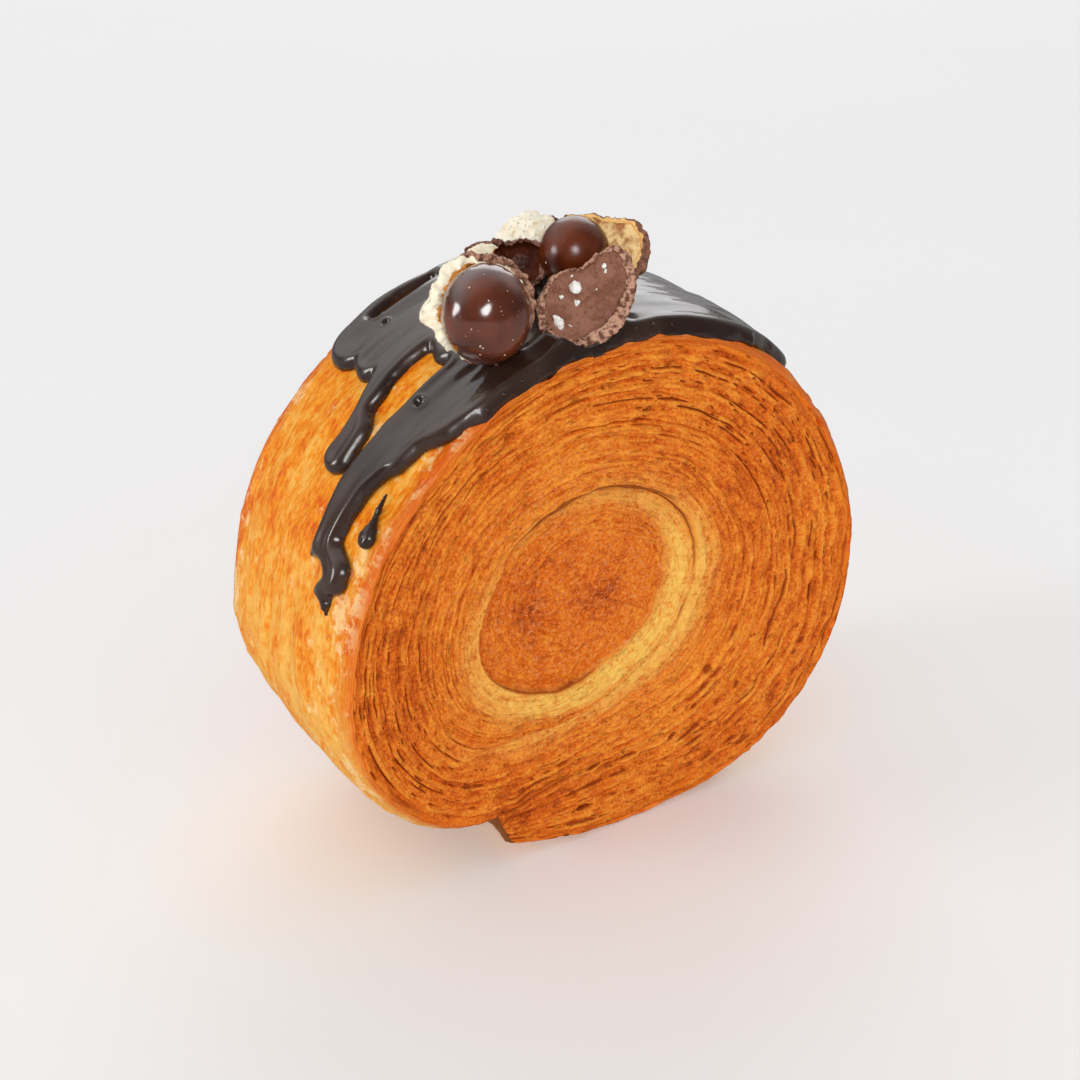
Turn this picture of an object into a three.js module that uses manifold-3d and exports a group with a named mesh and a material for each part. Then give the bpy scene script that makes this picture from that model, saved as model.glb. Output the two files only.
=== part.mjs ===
// A round laminated pastry roll that stands on its rim, with a dark chocolate glaze run over
// its top and broken chocolate wafer balls set in the glaze.
// Millimetres, +Z up. The coiled front face looks along -Y. The origin lies on the resting
// surface, below the roll's axis.
import * as THREE from 'three';
import { mergeVertices } from 'three/addons/utils/BufferGeometryUtils.js';
import Module from 'manifold-3d';

const wasm = await Module();
wasm.setup();

// Roll: the coil is a strip of dough wound clockwise, seen from the front, from the core out.
const ROLL_RADIUS = 50;
const ROLL_THICKNESS = 47;
const AXIS_HEIGHT = 41.8;
const CORE_X = -7;
const CORE_Z = 6;
const SEAM_ANGLE = -115.5;
const INNER_TURN = -3.25;
const HEART_OFFSET = 1.4;
// The coil line, as [turns from the seam, distance from the core]. From turn 0 it is the outline.
const COIL_LINE = [
  [-2.25, 15.5], [-2.125, 14.5], [-2, 17.4], [-1.875, 20.9], [-1.75, 19.6], [-1.625, 19.4],
  [-1.5, 20.5], [-1.375, 22.8], [-1.25, 21.4], [-1.125, 20], [-1, 25], [-0.9375, 31.2],
  [-0.875, 32], [-0.75, 31], [-0.625, 31.3], [-0.5, 32.9], [-0.375, 37.3], [-0.25, 40.3],
  [-0.125, 34.2], [-0.055, 34.4], [0, 41.4], [0.03, 44.8], [0.0625, 46], [0.125, 45.6],
  [0.1875, 42.7], [0.25, 41.2], [0.3125, 40.5], [0.375, 41.8], [0.4375, 44], [0.5, 47.1],
  [0.5625, 50.3], [0.625, 53.7], [0.6875, 57.8], [0.75, 59.9], [0.8125, 57.2], [0.875, 50.9],
  [0.9375, 47.6], [1, 46.4],
];
// The innermost turn repeats the turn outside it, this much smaller at its start and its end.
const CORE_SHRINK_START = 0.2;
const CORE_SHRINK_END = 0.717;
// The loose end of the strip leans under the roll, this many degrees over its last stretch.
const FLAP_LEAN = 7;
const FLAP_STRETCH = 0.12;

// Relief of the two coiled faces. Each span is [from turn, to turn] along the coil line.
const FRONT_CORE_RECESS = 2.4;
const BACK_CORE_RECESS = 1.2;
const CORE_FOOT_SPAN = [-2.35, -1.85];
const CORE_BROW_SPAN = [-2.45, -2.2];
const CRACK_OPENS = [-1.85, -1.65];
const CRACK_CLOSES = [-1.35, -1.15];
const SEAM_OPENS = [-0.3, -0.05];
const SEAM_GROOVE = 1.3;
const FAINT_GROOVE = 0.35;
const PLY_CROWN = 0.5;
const OUTLINE_DEPTH = 0.25;
const RIPPLE = { height: 0.22, along: [41, 17], across: [5, -7], shift: 1.3 };
const STRIP_ROWS = [0, 0.07, 0.32, 0.62, 0.93];
const STEPS_PER_TURN = 72;

// Rim: [distance in from the face, how far the rim stands out there]. It stands out further
// in places, as [turns from the seam, extra height, half width in turns].
const RIM_EDGE = [[0.4, -0.25], [1.5, 0.15], [6.5, 0.6], [14, 1]];
const FACE_INSET = 1;
const RIM_BULGE = 1.1;
const RIM_PLACE_COUNT = 720;
const TOP_TURN_MIN = 0.3;
const RIM_SWELLS = [[0.12, 1.1, 0.1], [0.52, 1.4, 0.09]];

// Glaze: laid over the rim, measured in millimetres along it from the top, positive to the
// left, and in Y. Each run is a chain of [along, across, half width].
const GAP = 0.3;
const GLAZE_THICKNESS = 1.5;
const GLAZE_BEAD = 0.25;
const GLAZE_EDGE = 1.6;
const GLAZE_LIMIT = 23.1;
const GLAZE_WAVE = { height: 1.2, across: [0.55, 0.21], shift: 0.8 };
const EDGE_CROSSING = [0.15, 0.85];
const GLAZE_SHEET = { from: -27, to: 24 };
const GLAZE_RUNS = [
  [[20, 14, 9], [29, 15.5, 6.2]],
  [[24, 7, 6], [30.5, 7.6, 4]],
  [[20, 4, 5], [30, 2.3, 3.2], [38, 1.9, 2.3], [45.3, 1.5, 3]],
  [[14, -14, 11], [24, -15.8, 8], [31, -14.2, 6.6], [38, -11.2, 3.8]],
  [[38, -11.2, 3.8], [48, -8.9, 2.2], [57.5, -8.6, 2.3]],
  [[57.5, -8.6, 2.6], [59.5, -13.6, 2.4], [66.5, -11.6, 1.2]],
  [[-24, 15, 8], [-36, 16.5, 4], [-46, 16, 2.4], [-52, 15.6, 3]],
  [[-22, -16, 7], [-33, -15, 3.6], [-38, -14.6, 3.4]],
  [[-22, 0, 9], [-31, 1, 3.2], [-41, 1.5, 2.3], [-44, 1.6, 2.8]],
];
const GLAZE_BARE_SLIT = [[12, 18.9, 0.8], [18, 18.2, 1.3], [24, 17.6, 0.9]];
const DROPLET_RUN = [[47, -15.9, 0.8], [50, -16.3, 1.1], [52.3, -16.9, 2]];

// Toppings: place is [degrees left of the top, distance from the roll's axis, Y]; facing is
// [degrees left of the front, degrees up], and spin turns a piece about that direction.
const SEAT_LIFT = 1.2 * GAP;
const SPACE_MARGIN = 1.3 * GAP;
const FRONT_BALL = {
  place: [20.6, 60, -15.7],
  facing: [38, 12],
  ball: [6.9, 7.5, 6.9],
  cup: { size: [8, 8, 8], at: [-0.5, 0.7, -0.4], rough: 0.03 },
  rim: { height: 1.3, tilt: 14, turn: 30 },
};
const HALF_SHELL = {
  place: [5.5, 57.2, -19.6],
  facing: [34, 27],
  spin: -30,
  size: [6.5, 9, 4.4],
  wall: 1.5,
  rough: 0.035,
  rim: { height: 0, tilt: 4, turn: 70 },
};
const BACK_BALL = {
  place: [-0.6, 59.8, -6.2],
  facing: [35, 30],
  ball: [6, 6, 6],
  cup: { size: [6.2, 5.4, 6.6], at: [5.6, -0.3, -2.4], rough: 0.04 },
  rim: { height: 0.6, lean: -50 },
};
const SHARD = {
  place: [7.9, 58.2, -1.4],
  facing: [25, 22],
  size: [6.2, 5.2, 4.2],
  rough: 0.05,
  hollow: { size: [9.5, 7.2, 7.6], at: [0, 0, 5.9] },
};
const CHUNK = {
  place: [1.4, 57.9, 5.4],
  size: [5.2, 5, 4.9],
  rough: 0.16,
};

const clamp = THREE.MathUtils.clamp;
const mix = THREE.MathUtils.lerp;
const MERGE_DISTANCE = 1e-4;
const radians = THREE.MathUtils.degToRad;
const smooth = ([from, to], x) => THREE.MathUtils.smoothstep(x, from, to);

function lines(from, to, step) {
  const count = Math.max(1, Math.round((to - from) / step));
  return Array.from({ length: count + 1 }, (_, i) => mix(from, to, i / count));
}

// The glaze's grid: its lines stand closer together on the left, where the narrow drips are.
const GLAZE_LINES = {
  along: [...lines(-55, 22, 3.1), ...lines(24, 68.6, 1.8)],
  across: [...lines(-ROLL_THICKNESS / 2, 6, 1.75), ...lines(8.3, ROLL_THICKNESS / 2, 2.5)],
};
const DROPLET_LINES = { along: lines(45.4, 55.4, 1), across: lines(-19.6, -14.2, 0.9) };
const GLAZE_COLOR = 0x2b2422;
const GLAZE_ROUGHNESS = 0.15;

function curveThrough(knots, t) {
  // A smooth curve through uneven knots, with each knot's slope taken from its neighbours.
  let i = 0;
  while (i < knots.length - 2 && t > knots[i + 1][0]) i += 1;
  const slope = (k) => {
    const a = knots[Math.max(k - 1, 0)];
    const b = knots[Math.min(k + 1, knots.length - 1)];
    return (b[1] - a[1]) / (b[0] - a[0]);
  };
  const span = knots[i + 1][0] - knots[i][0];
  const u = clamp((t - knots[i][0]) / span, 0, 1);
  const uu = u * u;
  const uuu = uu * u;
  return (2 * uuu - 3 * uu + 1) * knots[i][1] + (uuu - 2 * uu + u) * span * slope(i)
    + (3 * uu - 2 * uuu) * knots[i + 1][1] + (uuu - uu) * span * slope(i + 1);
}

function coilRadius(turn) {
  const first = COIL_LINE[0][0];
  if (turn >= first) return curveThrough(COIL_LINE, turn);
  const shrink = mix(CORE_SHRINK_START, CORE_SHRINK_END, turn - INNER_TURN);
  return shrink * curveThrough(COIL_LINE, turn + 1);
}

function coilPoint(turn, across) {
  // A point of the strip's cross-section: [x, z] from the roll's axis.
  const lean = FLAP_LEAN * across * smooth([-FLAP_STRETCH, 0], turn);
  const outline = turn > 0 ? FLAP_LEAN * smooth([1 - FLAP_STRETCH, 1], turn) : 0;
  const angle = radians(SEAM_ANGLE - 360 * turn + lean + outline);
  const radius = across > 0 ? mix(coilRadius(turn), coilRadius(turn + 1), across) : coilRadius(turn);
  return [CORE_X + radius * Math.cos(angle), CORE_Z + radius * Math.sin(angle)];
}

function ripple(turn, across) {
  const { height, along, across: over, shift } = RIPPLE;
  const fine = Math.sin(along[0] * turn + over[0] * across);
  return height * fine * Math.sin(along[1] * turn + over[1] * across + shift);
}

function faceDepth(turn, across, coreRecess) {
  // How far a coiled face lies in from its flat plane. The core is sunk, the band round its
  // foot slopes up, and a groove runs along the coil line, deepest at the seam and the crack.
  const foot = coreRecess * (1 - smooth(CORE_FOOT_SPAN, turn));
  const brow = coreRecess * (1 - smooth(CORE_BROW_SPAN, turn));
  const level = mix(foot, brow, smooth([0, 1], across));
  const crack = smooth(CRACK_OPENS, turn) * (1 - smooth(CRACK_CLOSES, turn));
  const open = Math.max(crack, smooth(SEAM_OPENS, turn));
  const groove = across === 0 ? SEAM_GROOVE * mix(FAINT_GROOVE, 1, open) : 0;
  const crown = PLY_CROWN * Math.sin(Math.PI * across);
  return level + groove + PLY_CROWN - crown + ripple(turn, across);
}

function rimOut(turn, y) {
  // How far the rim stands out from the face's outline at a depth y.
  const half = ROLL_THICKNESS / 2;
  const inFromFace = clamp(half - Math.abs(y), 0, half);
  const knots = [[0, -FACE_INSET], ...RIM_EDGE, [half, RIM_BULGE]];
  const i = knots.findIndex(([depth], k) => k > 0 && inFromFace <= depth);
  const u = (inFromFace - knots[i - 1][0]) / (knots[i][0] - knots[i - 1][0]);
  const middle = 1 - (y / half) ** 4;
  const swell = RIM_SWELLS.reduce(
    (sum, [at, extra, width]) => sum + extra * Math.exp(-(((turn - at) / width) ** 2)),
    0,
  );
  return mix(knots[i - 1][1], knots[i][1], u) + middle * swell;
}

function moveOut([x, z], out) {
  // A point of the cross-section moved away from the core, or towards it.
  const dx = x - CORE_X;
  const dz = z - CORE_Z;
  const scale = 1 + out / Math.max(Math.hypot(dx, dz), 1);
  return [CORE_X + dx * scale, CORE_Z + dz * scale];
}

function insetFace([x, z]) {
  // The faces are the cross-section, drawn in all over by the inset of their edge.
  const scale = 1 - FACE_INSET / ROLL_RADIUS;
  return [CORE_X + (x - CORE_X) * scale, CORE_Z + (z - CORE_Z) * scale];
}

class MeshBuilder {
  constructor() {
    this.positions = [];
    this.indices = [];
  }

  vertex(x, y, z) {
    this.positions.push(x, y, z);
    return this.positions.length / 3 - 1;
  }

  quad(a, b, c, d) {
    this.indices.push(a, b, c, a, c, d);
  }

  geometry() {
    const geometry = new THREE.BufferGeometry();
    geometry.setAttribute('position', new THREE.Float32BufferAttribute(this.positions, 3));
    geometry.setIndex(this.indices);
    geometry.computeVertexNormals();
    return geometry;
  }
}

function rollGeometry() {
  const mesh = new MeshBuilder();
  const rows = STRIP_ROWS.length;
  const steps = Math.round(-INNER_TURN * STEPS_PER_TURN);
  const turnAt = (i) => INNER_TURN + i / STEPS_PER_TURN;
  const floorClamp = (z) => Math.max(z + AXIS_HEIGHT, 0);

  // Each face is one helical grid: a strip's outer edge is the inner edge one turn later.
  function face(side, coreRecess) {
    const grid = [];
    for (let i = 0; i <= steps + STEPS_PER_TURN; i += 1) {
      const count = i <= steps ? rows : 1;
      grid.push([]);
      for (let k = 0; k < count; k += 1) {
        const turn = turnAt(i);
        const [x, z] = insetFace(coilPoint(turn, STRIP_ROWS[k]));
        const outline = i > steps || (i === steps && k > 0);
        const depth = outline ? OUTLINE_DEPTH : faceDepth(turn, STRIP_ROWS[k], coreRecess);
        grid[i].push(mesh.vertex(x, side * (ROLL_THICKNESS / 2 - depth), floorClamp(z)));
      }
    }
    const at = (i, k) => (k === rows ? grid[i + STEPS_PER_TURN][0] : grid[i][k]);
    const turnFace = (a, b, c, d) => (side < 0 ? mesh.quad(a, d, c, b) : mesh.quad(a, b, c, d));
    for (let i = 0; i < steps; i += 1) {
      for (let k = 0; k < rows; k += 1) {
        turnFace(at(i, k), at(i, k + 1), at(i + 1, k + 1), at(i + 1, k));
      }
    }
    // The middle of the core closes in a fan, set beside the strip's first edge.
    const start = radians(SEAM_ANGLE - 360 * INNER_TURN + 90);
    const middle = mesh.vertex(
      CORE_X + HEART_OFFSET * Math.cos(start),
      side * (ROLL_THICKNESS / 2 - faceDepth(INNER_TURN, 0.5, coreRecess)),
      AXIS_HEIGHT + CORE_Z + HEART_OFFSET * Math.sin(start),
    );
    const core = [];
    for (let i = 0; i < STEPS_PER_TURN; i += 1) core.push(grid[i][0]);
    for (let k = rows; k > 0; k -= 1) core.push(at(0, k));
    core.forEach((a, i) => {
      const b = core[(i + 1) % core.length];
      if (side < 0) mesh.indices.push(middle, b, a);
      else mesh.indices.push(middle, a, b);
    });
    // The outer loop: round the outline from the seam, then down the flap's cut end.
    const loop = [];
    for (let i = steps; i < steps + STEPS_PER_TURN; i += 1) loop.push(grid[i][0]);
    for (let k = rows; k > 0; k -= 1) loop.push(at(steps, k));
    return loop;
  }

  const front = face(-1, FRONT_CORE_RECESS);
  const back = face(1, BACK_CORE_RECESS);

  // The rim runs from the front loop to the back loop, standing out in the middle.
  const section = [];
  for (let i = 0; i < STEPS_PER_TURN; i += 1) {
    const turn = i / STEPS_PER_TURN;
    section.push({ out: (y) => rimOut(turn, y), point: coilPoint(turn, 0) });
  }
  for (let k = rows; k > 0; k -= 1) {
    const across = k === rows ? 1 : STRIP_ROWS[k];
    const out = (y) => mix(rimOut(0, y), rimOut(1, y), across);
    section.push({ out, point: coilPoint(0, across) });
  }
  const half = ROLL_THICKNESS / 2;
  const depths = [...RIM_EDGE.map(([inward]) => -half + inward), 0,
    ...RIM_EDGE.map(([inward]) => half - inward).reverse()];
  let previous = front;
  for (const y of depths) {
    const ring = section.map(({ out, point }) => {
      const [x, z] = moveOut(point, out(y));
      return mesh.vertex(x, y, floorClamp(z));
    });
    joinRings(mesh, previous, ring);
    previous = ring;
  }
  joinRings(mesh, previous, back);
  return mesh.geometry();
}

function joinRings(mesh, near, far) {
  near.forEach((a, i) => {
    const next = (i + 1) % near.length;
    mesh.quad(a, near[next], far[next], far[i]);
  });
}

function rimPlaces() {
  // The outline walked in small steps: how far each turn lies along the rim from the top.
  const places = [];
  let along = 0;
  let last = null;
  for (let i = 0; i <= RIM_PLACE_COUNT; i += 1) {
    const turn = i / RIM_PLACE_COUNT;
    const point = moveOut(coilPoint(turn, 0), RIM_BULGE);
    if (last) along += Math.hypot(point[0] - last[0], point[1] - last[1]);
    places.push({ turn, along, point });
    last = point;
  }
  const top = places.find(({ turn, point }) => turn > TOP_TURN_MIN && point[0] >= 0).along;
  return places.map(({ turn, along: from }) => [top - from, turn]).reverse();
}

const RIM_PLACES = rimPlaces();

function rimPoint(along, y, lift) {
  // A point above the rim, as [x, y, z] in the part's frame.
  let low = 0;
  let high = RIM_PLACES.length - 1;
  while (high - low > 1) {
    const middle = Math.floor((low + high) / 2);
    if (RIM_PLACES[middle][0] > along) high = middle;
    else low = middle;
  }
  const u = (along - RIM_PLACES[low][0]) / (RIM_PLACES[high][0] - RIM_PLACES[low][0]);
  const turn = mix(RIM_PLACES[low][1], RIM_PLACES[high][1], u);
  const [x, z] = moveOut(coilPoint(turn, 0), rimOut(turn, y) + lift);
  return [x, y, z + AXIS_HEIGHT];
}

function insideRun(run, along, across) {
  // How far a place lies inside a chain of round-ended stretches, negative outside.
  let best = -Infinity;
  for (let i = 1; i < run.length; i += 1) {
    const [a0, b0, r0] = run[i - 1];
    const [a1, b1, r1] = run[i];
    const lengthSquared = (a1 - a0) ** 2 + (b1 - b0) ** 2;
    const u = clamp(((along - a0) * (a1 - a0) + (across - b0) * (b1 - b0)) / lengthSquared, 0, 1);
    const distance = Math.hypot(along - mix(a0, a1, u), across - mix(b0, b1, u));
    best = Math.max(best, mix(r0, r1, u) - distance);
  }
  return best;
}

function insideGlaze(along, across) {
  const { height, across: rate, shift } = GLAZE_WAVE;
  const wave = height * Math.sin(rate[0] * across + shift) * Math.sin(rate[1] * across);
  let inside = Math.min(along - GLAZE_SHEET.from, GLAZE_SHEET.to + wave - along);
  for (const run of GLAZE_RUNS) inside = Math.max(inside, insideRun(run, along, across));
  inside = Math.min(inside, GLAZE_LIMIT - Math.abs(across));
  return Math.min(inside, -insideRun(GLAZE_BARE_SLIT, along, across));
}

function skinGeometry(inside, alongLines, acrossLines) {
  // A skin over the rim, wherever inside(along, across) is positive: marching squares, with
  // an upper and a lower face that meet at the skin's edge.
  const mesh = new MeshBuilder();
  const made = new Map();
  const value = alongLines.map((a) => acrossLines.map((b) => inside(a, b)));

  function corner(i, j) {
    const key = `c${i},${j}`;
    if (!made.has(key)) {
      const rise = Math.sqrt(1 - (1 - Math.min(value[i][j] / GLAZE_EDGE, 1)) ** 2);
      const lift = GAP + mix(GLAZE_BEAD, GLAZE_THICKNESS, rise);
      made.set(key, [
        mesh.vertex(...rimPoint(alongLines[i], acrossLines[j], lift)),
        mesh.vertex(...rimPoint(alongLines[i], acrossLines[j], GAP)),
      ]);
    }
    return made.get(key);
  }

  function crossing(i0, j0, i1, j1) {
    const [first, second] = i0 + j0 < i1 + j1 ? [[i0, j0], [i1, j1]] : [[i1, j1], [i0, j0]];
    const key = `e${first},${second}`;
    if (!made.has(key)) {
      const a = value[first[0]][first[1]];
      const b = value[second[0]][second[1]];
      const u = clamp(a / (a - b), ...EDGE_CROSSING);
      const along = mix(alongLines[first[0]], alongLines[second[0]], u);
      const across = mix(acrossLines[first[1]], acrossLines[second[1]], u);
      const edge = mesh.vertex(...rimPoint(along, across, GAP + GLAZE_BEAD / 2));
      made.set(key, [edge, edge]);
    }
    return made.get(key);
  }

  for (let i = 0; i < alongLines.length - 1; i += 1) {
    for (let j = 0; j < acrossLines.length - 1; j += 1) {
      const corners = [[i, j], [i, j + 1], [i + 1, j + 1], [i + 1, j]];
      const polygon = [];
      let start = -1;
      corners.forEach(([a, b], k) => {
        const [c, d] = corners[(k + 1) % 4];
        if (value[a][b] > 0) {
          if (start < 0) start = polygon.length;
          polygon.push(corner(a, b));
        }
        if (value[a][b] > 0 !== value[c][d] > 0) polygon.push(crossing(a, b, c, d));
      });
      if (start < 0) continue;
      const turned = [...polygon.slice(start), ...polygon.slice(0, start)];
      for (let k = 1; k < turned.length - 1; k += 1) {
        mesh.indices.push(turned[0][0], turned[k][0], turned[k + 1][0]);
        mesh.indices.push(turned[0][1], turned[k + 1][1], turned[k][1]);
      }
    }
  }
  return mesh.geometry();
}

function toSolid(geometry) {
  const bare = geometry.clone();
  bare.deleteAttribute('normal');
  bare.deleteAttribute('uv');
  const merged = mergeVertices(bare, MERGE_DISTANCE);
  return new wasm.Manifold(new wasm.Mesh({
    numProp: 3,
    vertProperties: Float32Array.from(merged.attributes.position.array),
    triVerts: Uint32Array.from(merged.index.array),
  }));
}

function toGeometry(solid) {
  const result = solid.getMesh();
  const geometry = new THREE.BufferGeometry();
  const positions = Float32Array.from(result.vertProperties);
  geometry.setAttribute('position', new THREE.BufferAttribute(positions, 3));
  geometry.setIndex(new THREE.BufferAttribute(Uint32Array.from(result.triVerts), 1));
  geometry.computeVertexNormals();
  return geometry;
}

function seatGeometry() {
  // The space that the roll takes up, with the gap that the toppings keep above it.
  const mesh = new MeshBuilder();
  const half = ROLL_THICKNESS / 2;
  const edge = half - RIM_EDGE[1][0];
  const depths = [-half - GAP, -edge, -half / 2, 0, half / 2, edge, half + GAP];
  const rings = depths.map((y) => {
    const turns = lines(0, 1 - 1 / STEPS_PER_TURN, 1 / STEPS_PER_TURN);
    return turns.map((turn) => {
      const [x, z] = moveOut(coilPoint(turn, 0), rimOut(turn, y) + SEAT_LIFT);
      return mesh.vertex(x, y, z + AXIS_HEIGHT);
    });
  });
  for (let i = 1; i < rings.length; i += 1) joinRings(mesh, rings[i - 1], rings[i]);
  const ends = [[rings[0], depths[0]], [rings[rings.length - 1].reverse(), depths[depths.length - 1]]];
  for (const [ring, y] of ends) {
    const middle = mesh.vertex(CORE_X, y, AXIS_HEIGHT + CORE_Z);
    ring.forEach((a, i) => mesh.indices.push(middle, ring[(i + 1) % ring.length], a));
  }
  return mesh.geometry();
}

function placement({ place, facing = [0, 0], spin = 0 }) {
  // Local +Z turns to the facing direction, and local +Y stays upright but for the spin.
  const [left, distance, y] = place;
  const [aroundLeft, up] = facing.map(radians);
  const direction = new THREE.Vector3(
    -Math.sin(aroundLeft) * Math.cos(up),
    -Math.cos(aroundLeft) * Math.cos(up),
    Math.sin(up),
  );
  const side = new THREE.Vector3(0, 0, 1).cross(direction).normalize();
  const upright = direction.clone().cross(side);
  const matrix = new THREE.Matrix4().makeBasis(side, upright, direction)
    .multiply(new THREE.Matrix4().makeRotationZ(radians(spin)));
  matrix.setPosition(
    -distance * Math.sin(radians(left)),
    y,
    AXIS_HEIGHT + distance * Math.cos(radians(left)),
  );
  return matrix;
}

function roughened(geometry, amount, seed) {
  // A closed geometry with its points pushed in and out by a fixed irregular amount.
  geometry.deleteAttribute('normal');
  geometry.deleteAttribute('uv');
  const merged = mergeVertices(geometry, MERGE_DISTANCE);
  const position = merged.attributes.position;
  const point = new THREE.Vector3();
  for (let i = 0; i < position.count; i += 1) {
    point.fromBufferAttribute(position, i);
    const wobble = Math.sin(1.9 * point.x + seed) + Math.sin(2.3 * point.y + 2 * seed)
      + Math.sin(1.7 * point.z + 3 * seed) + Math.sin(0.9 * (point.x - point.y + point.z) + seed);
    point.multiplyScalar(1 + amount * wobble / 4);
    position.setXYZ(i, point.x, point.y, point.z);
  }
  return merged;
}

function ellipsoid([x, y, z], around = 20, down = 12) {
  return new THREE.SphereGeometry(1, around, down).rotateX(Math.PI / 2).scale(x, y, z);
}

function slabAbove({ height, tilt = 0, turn = 0, lean = 0 }) {
  // A block whose lower face cuts across a piece at a height along its facing direction.
  const size = 40;
  return new THREE.BoxGeometry(size, size, size).translate(0, 0, size / 2 + height)
    .rotateX(radians(tilt)).rotateZ(radians(turn)).rotateY(radians(lean));
}

function frontBall() {
  // A glossy filled ball in what is left of its wafer cup, which stands out round its back.
  const { ball: size, cup: { size: cupSize, at, rough }, rim } = FRONT_BALL;
  const ball = ellipsoid(size);
  const cup = roughened(ellipsoid(cupSize), rough, 1).translate(...at);
  const solid = toSolid(ball).add(toSolid(cup).subtract(toSolid(slabAbove(rim))));
  return { solid, space: [ball, cup] };
}

function backBall() {
  // A smaller filled ball whose cup has broken away, apart from a thick piece beside it.
  const { ball: size, cup: { size: cupSize, at, rough }, rim } = BACK_BALL;
  const ball = ellipsoid(size);
  const cup = roughened(ellipsoid(cupSize), rough, 4).translate(...at);
  const slab = slabAbove(rim).translate(...at);
  const solid = toSolid(ball).add(toSolid(cup).subtract(toSolid(slab)));
  return { solid, space: [ball, cup] };
}

function halfShell() {
  // A shallow broken shell, seen from its hollow side.
  const { size, wall, rough, rim } = HALF_SHELL;
  const outer = roughened(ellipsoid(size, 24, 12), rough, 2);
  const hollow = toSolid(ellipsoid(size.map((length) => length - wall), 24, 12));
  const solid = toSolid(outer).subtract(hollow).subtract(toSolid(slabAbove(rim)));
  return { solid, space: [outer] };
}

function shard() {
  // A curved splinter of shell, hollow side to the front.
  const { size, rough, hollow } = SHARD;
  const plate = roughened(ellipsoid(size, 22, 12), rough, 3);
  const scoop = toSolid(ellipsoid(hollow.size, 24, 14).translate(...hollow.at));
  return { solid: toSolid(plate).subtract(scoop), space: [plate] };
}

function chunk() {
  // A crumbly lump of pale wafer.
  const lump = roughened(ellipsoid(CHUNK.size, 14, 9), CHUNK.rough, 5);
  return { solid: toSolid(lump), space: [lump] };
}

function grown(geometry, matrix) {
  // A filled form made a gap larger all round, at its place.
  geometry.computeBoundingBox();
  const middle = geometry.boundingBox.getCenter(new THREE.Vector3());
  const size = geometry.boundingBox.getSize(new THREE.Vector3());
  const [x, y, z] = size.toArray().map((length) => 1 + 2 * SPACE_MARGIN / length);
  return toSolid(geometry.clone().translate(-middle.x, -middle.y, -middle.z).scale(x, y, z)
    .translate(middle.x, middle.y, middle.z).applyMatrix4(matrix));
}

function largest(solid) {
  // The main body of a cut solid, without the loose scraps that a cut can leave.
  return solid.decompose().reduce((best, piece) => (piece.volume() > best.volume() ? piece : best));
}

function paint(name, geometry, color, roughness) {
  const material = new THREE.MeshStandardMaterial({ color, roughness, metalness: 0 });
  const mesh = new THREE.Mesh(geometry, material);
  mesh.name = name;
  return mesh;
}

function buildToppings() {
  // Each topping is seated on the crust and kept clear of the ones set before it. The second
  // result is the space that they take up in the glaze.
  const list = [
    ['front_ball', frontBall(), FRONT_BALL, 0x3d1f14, 0.25],
    ['half_shell', halfShell(), HALF_SHELL, 0x5d3628, 0.6],
    ['back_ball', backBall(), BACK_BALL, 0x41231a, 0.3],
    ['shell_shard', shard(), SHARD, 0x4a2a20, 0.45],
    ['wafer_chunk', chunk(), CHUNK, 0xf1e4c4, 0.8],
  ];
  let taken = toSolid(seatGeometry());
  let sunk = null;
  const meshes = list.map(([name, { solid, space }, spec, color, roughness]) => {
    const matrix = placement(spec);
    const placed = toSolid(toGeometry(solid).applyMatrix4(matrix));
    const kept = largest(placed.subtract(taken));
    const spaces = space.map((form) => grown(form, matrix)).reduce((a, b) => a.add(b));
    taken = taken.add(spaces);
    sunk = sunk ? sunk.add(spaces) : spaces;
    return paint(name, toGeometry(kept), color, roughness);
  });
  return [meshes, sunk];
}

function buildGlaze(sunk) {
  const skin = skinGeometry(insideGlaze, GLAZE_LINES.along, GLAZE_LINES.across);
  const solid = largest(toSolid(skin).subtract(sunk));
  return paint('chocolate_glaze', toGeometry(solid), GLAZE_COLOR, GLAZE_ROUGHNESS);
}

function buildDroplet() {
  const inside = (along, across) => insideRun(DROPLET_RUN, along, across);
  const skin = skinGeometry(inside, DROPLET_LINES.along, DROPLET_LINES.across);
  return paint('glaze_droplet', skin, GLAZE_COLOR, GLAZE_ROUGHNESS);
}

const roll = paint('roll', rollGeometry(), 0xd07c34, 0.55);
const [toppings, sunk] = buildToppings();

const pastry = new THREE.Group();
pastry.add(roll, buildGlaze(sunk), buildDroplet(), ...toppings);

export default pastry;
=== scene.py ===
"""A round laminated pastry roll with chocolate glaze and broken chocolate wafer balls on top.

The roll is one strip of dough wound into a coil. Its two coiled faces and its rim are dense grids
that follow the strip, the glaze is a skin laid over the rim, and the balls are broken shells.
Sizes are in millimetres, and the meshes are written in metres.
"""

import logging
import math
from collections.abc import Callable
from dataclasses import dataclass, field
from enum import Enum

import bpy
import numpy as np
from mathutils import Matrix, Vector


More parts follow.
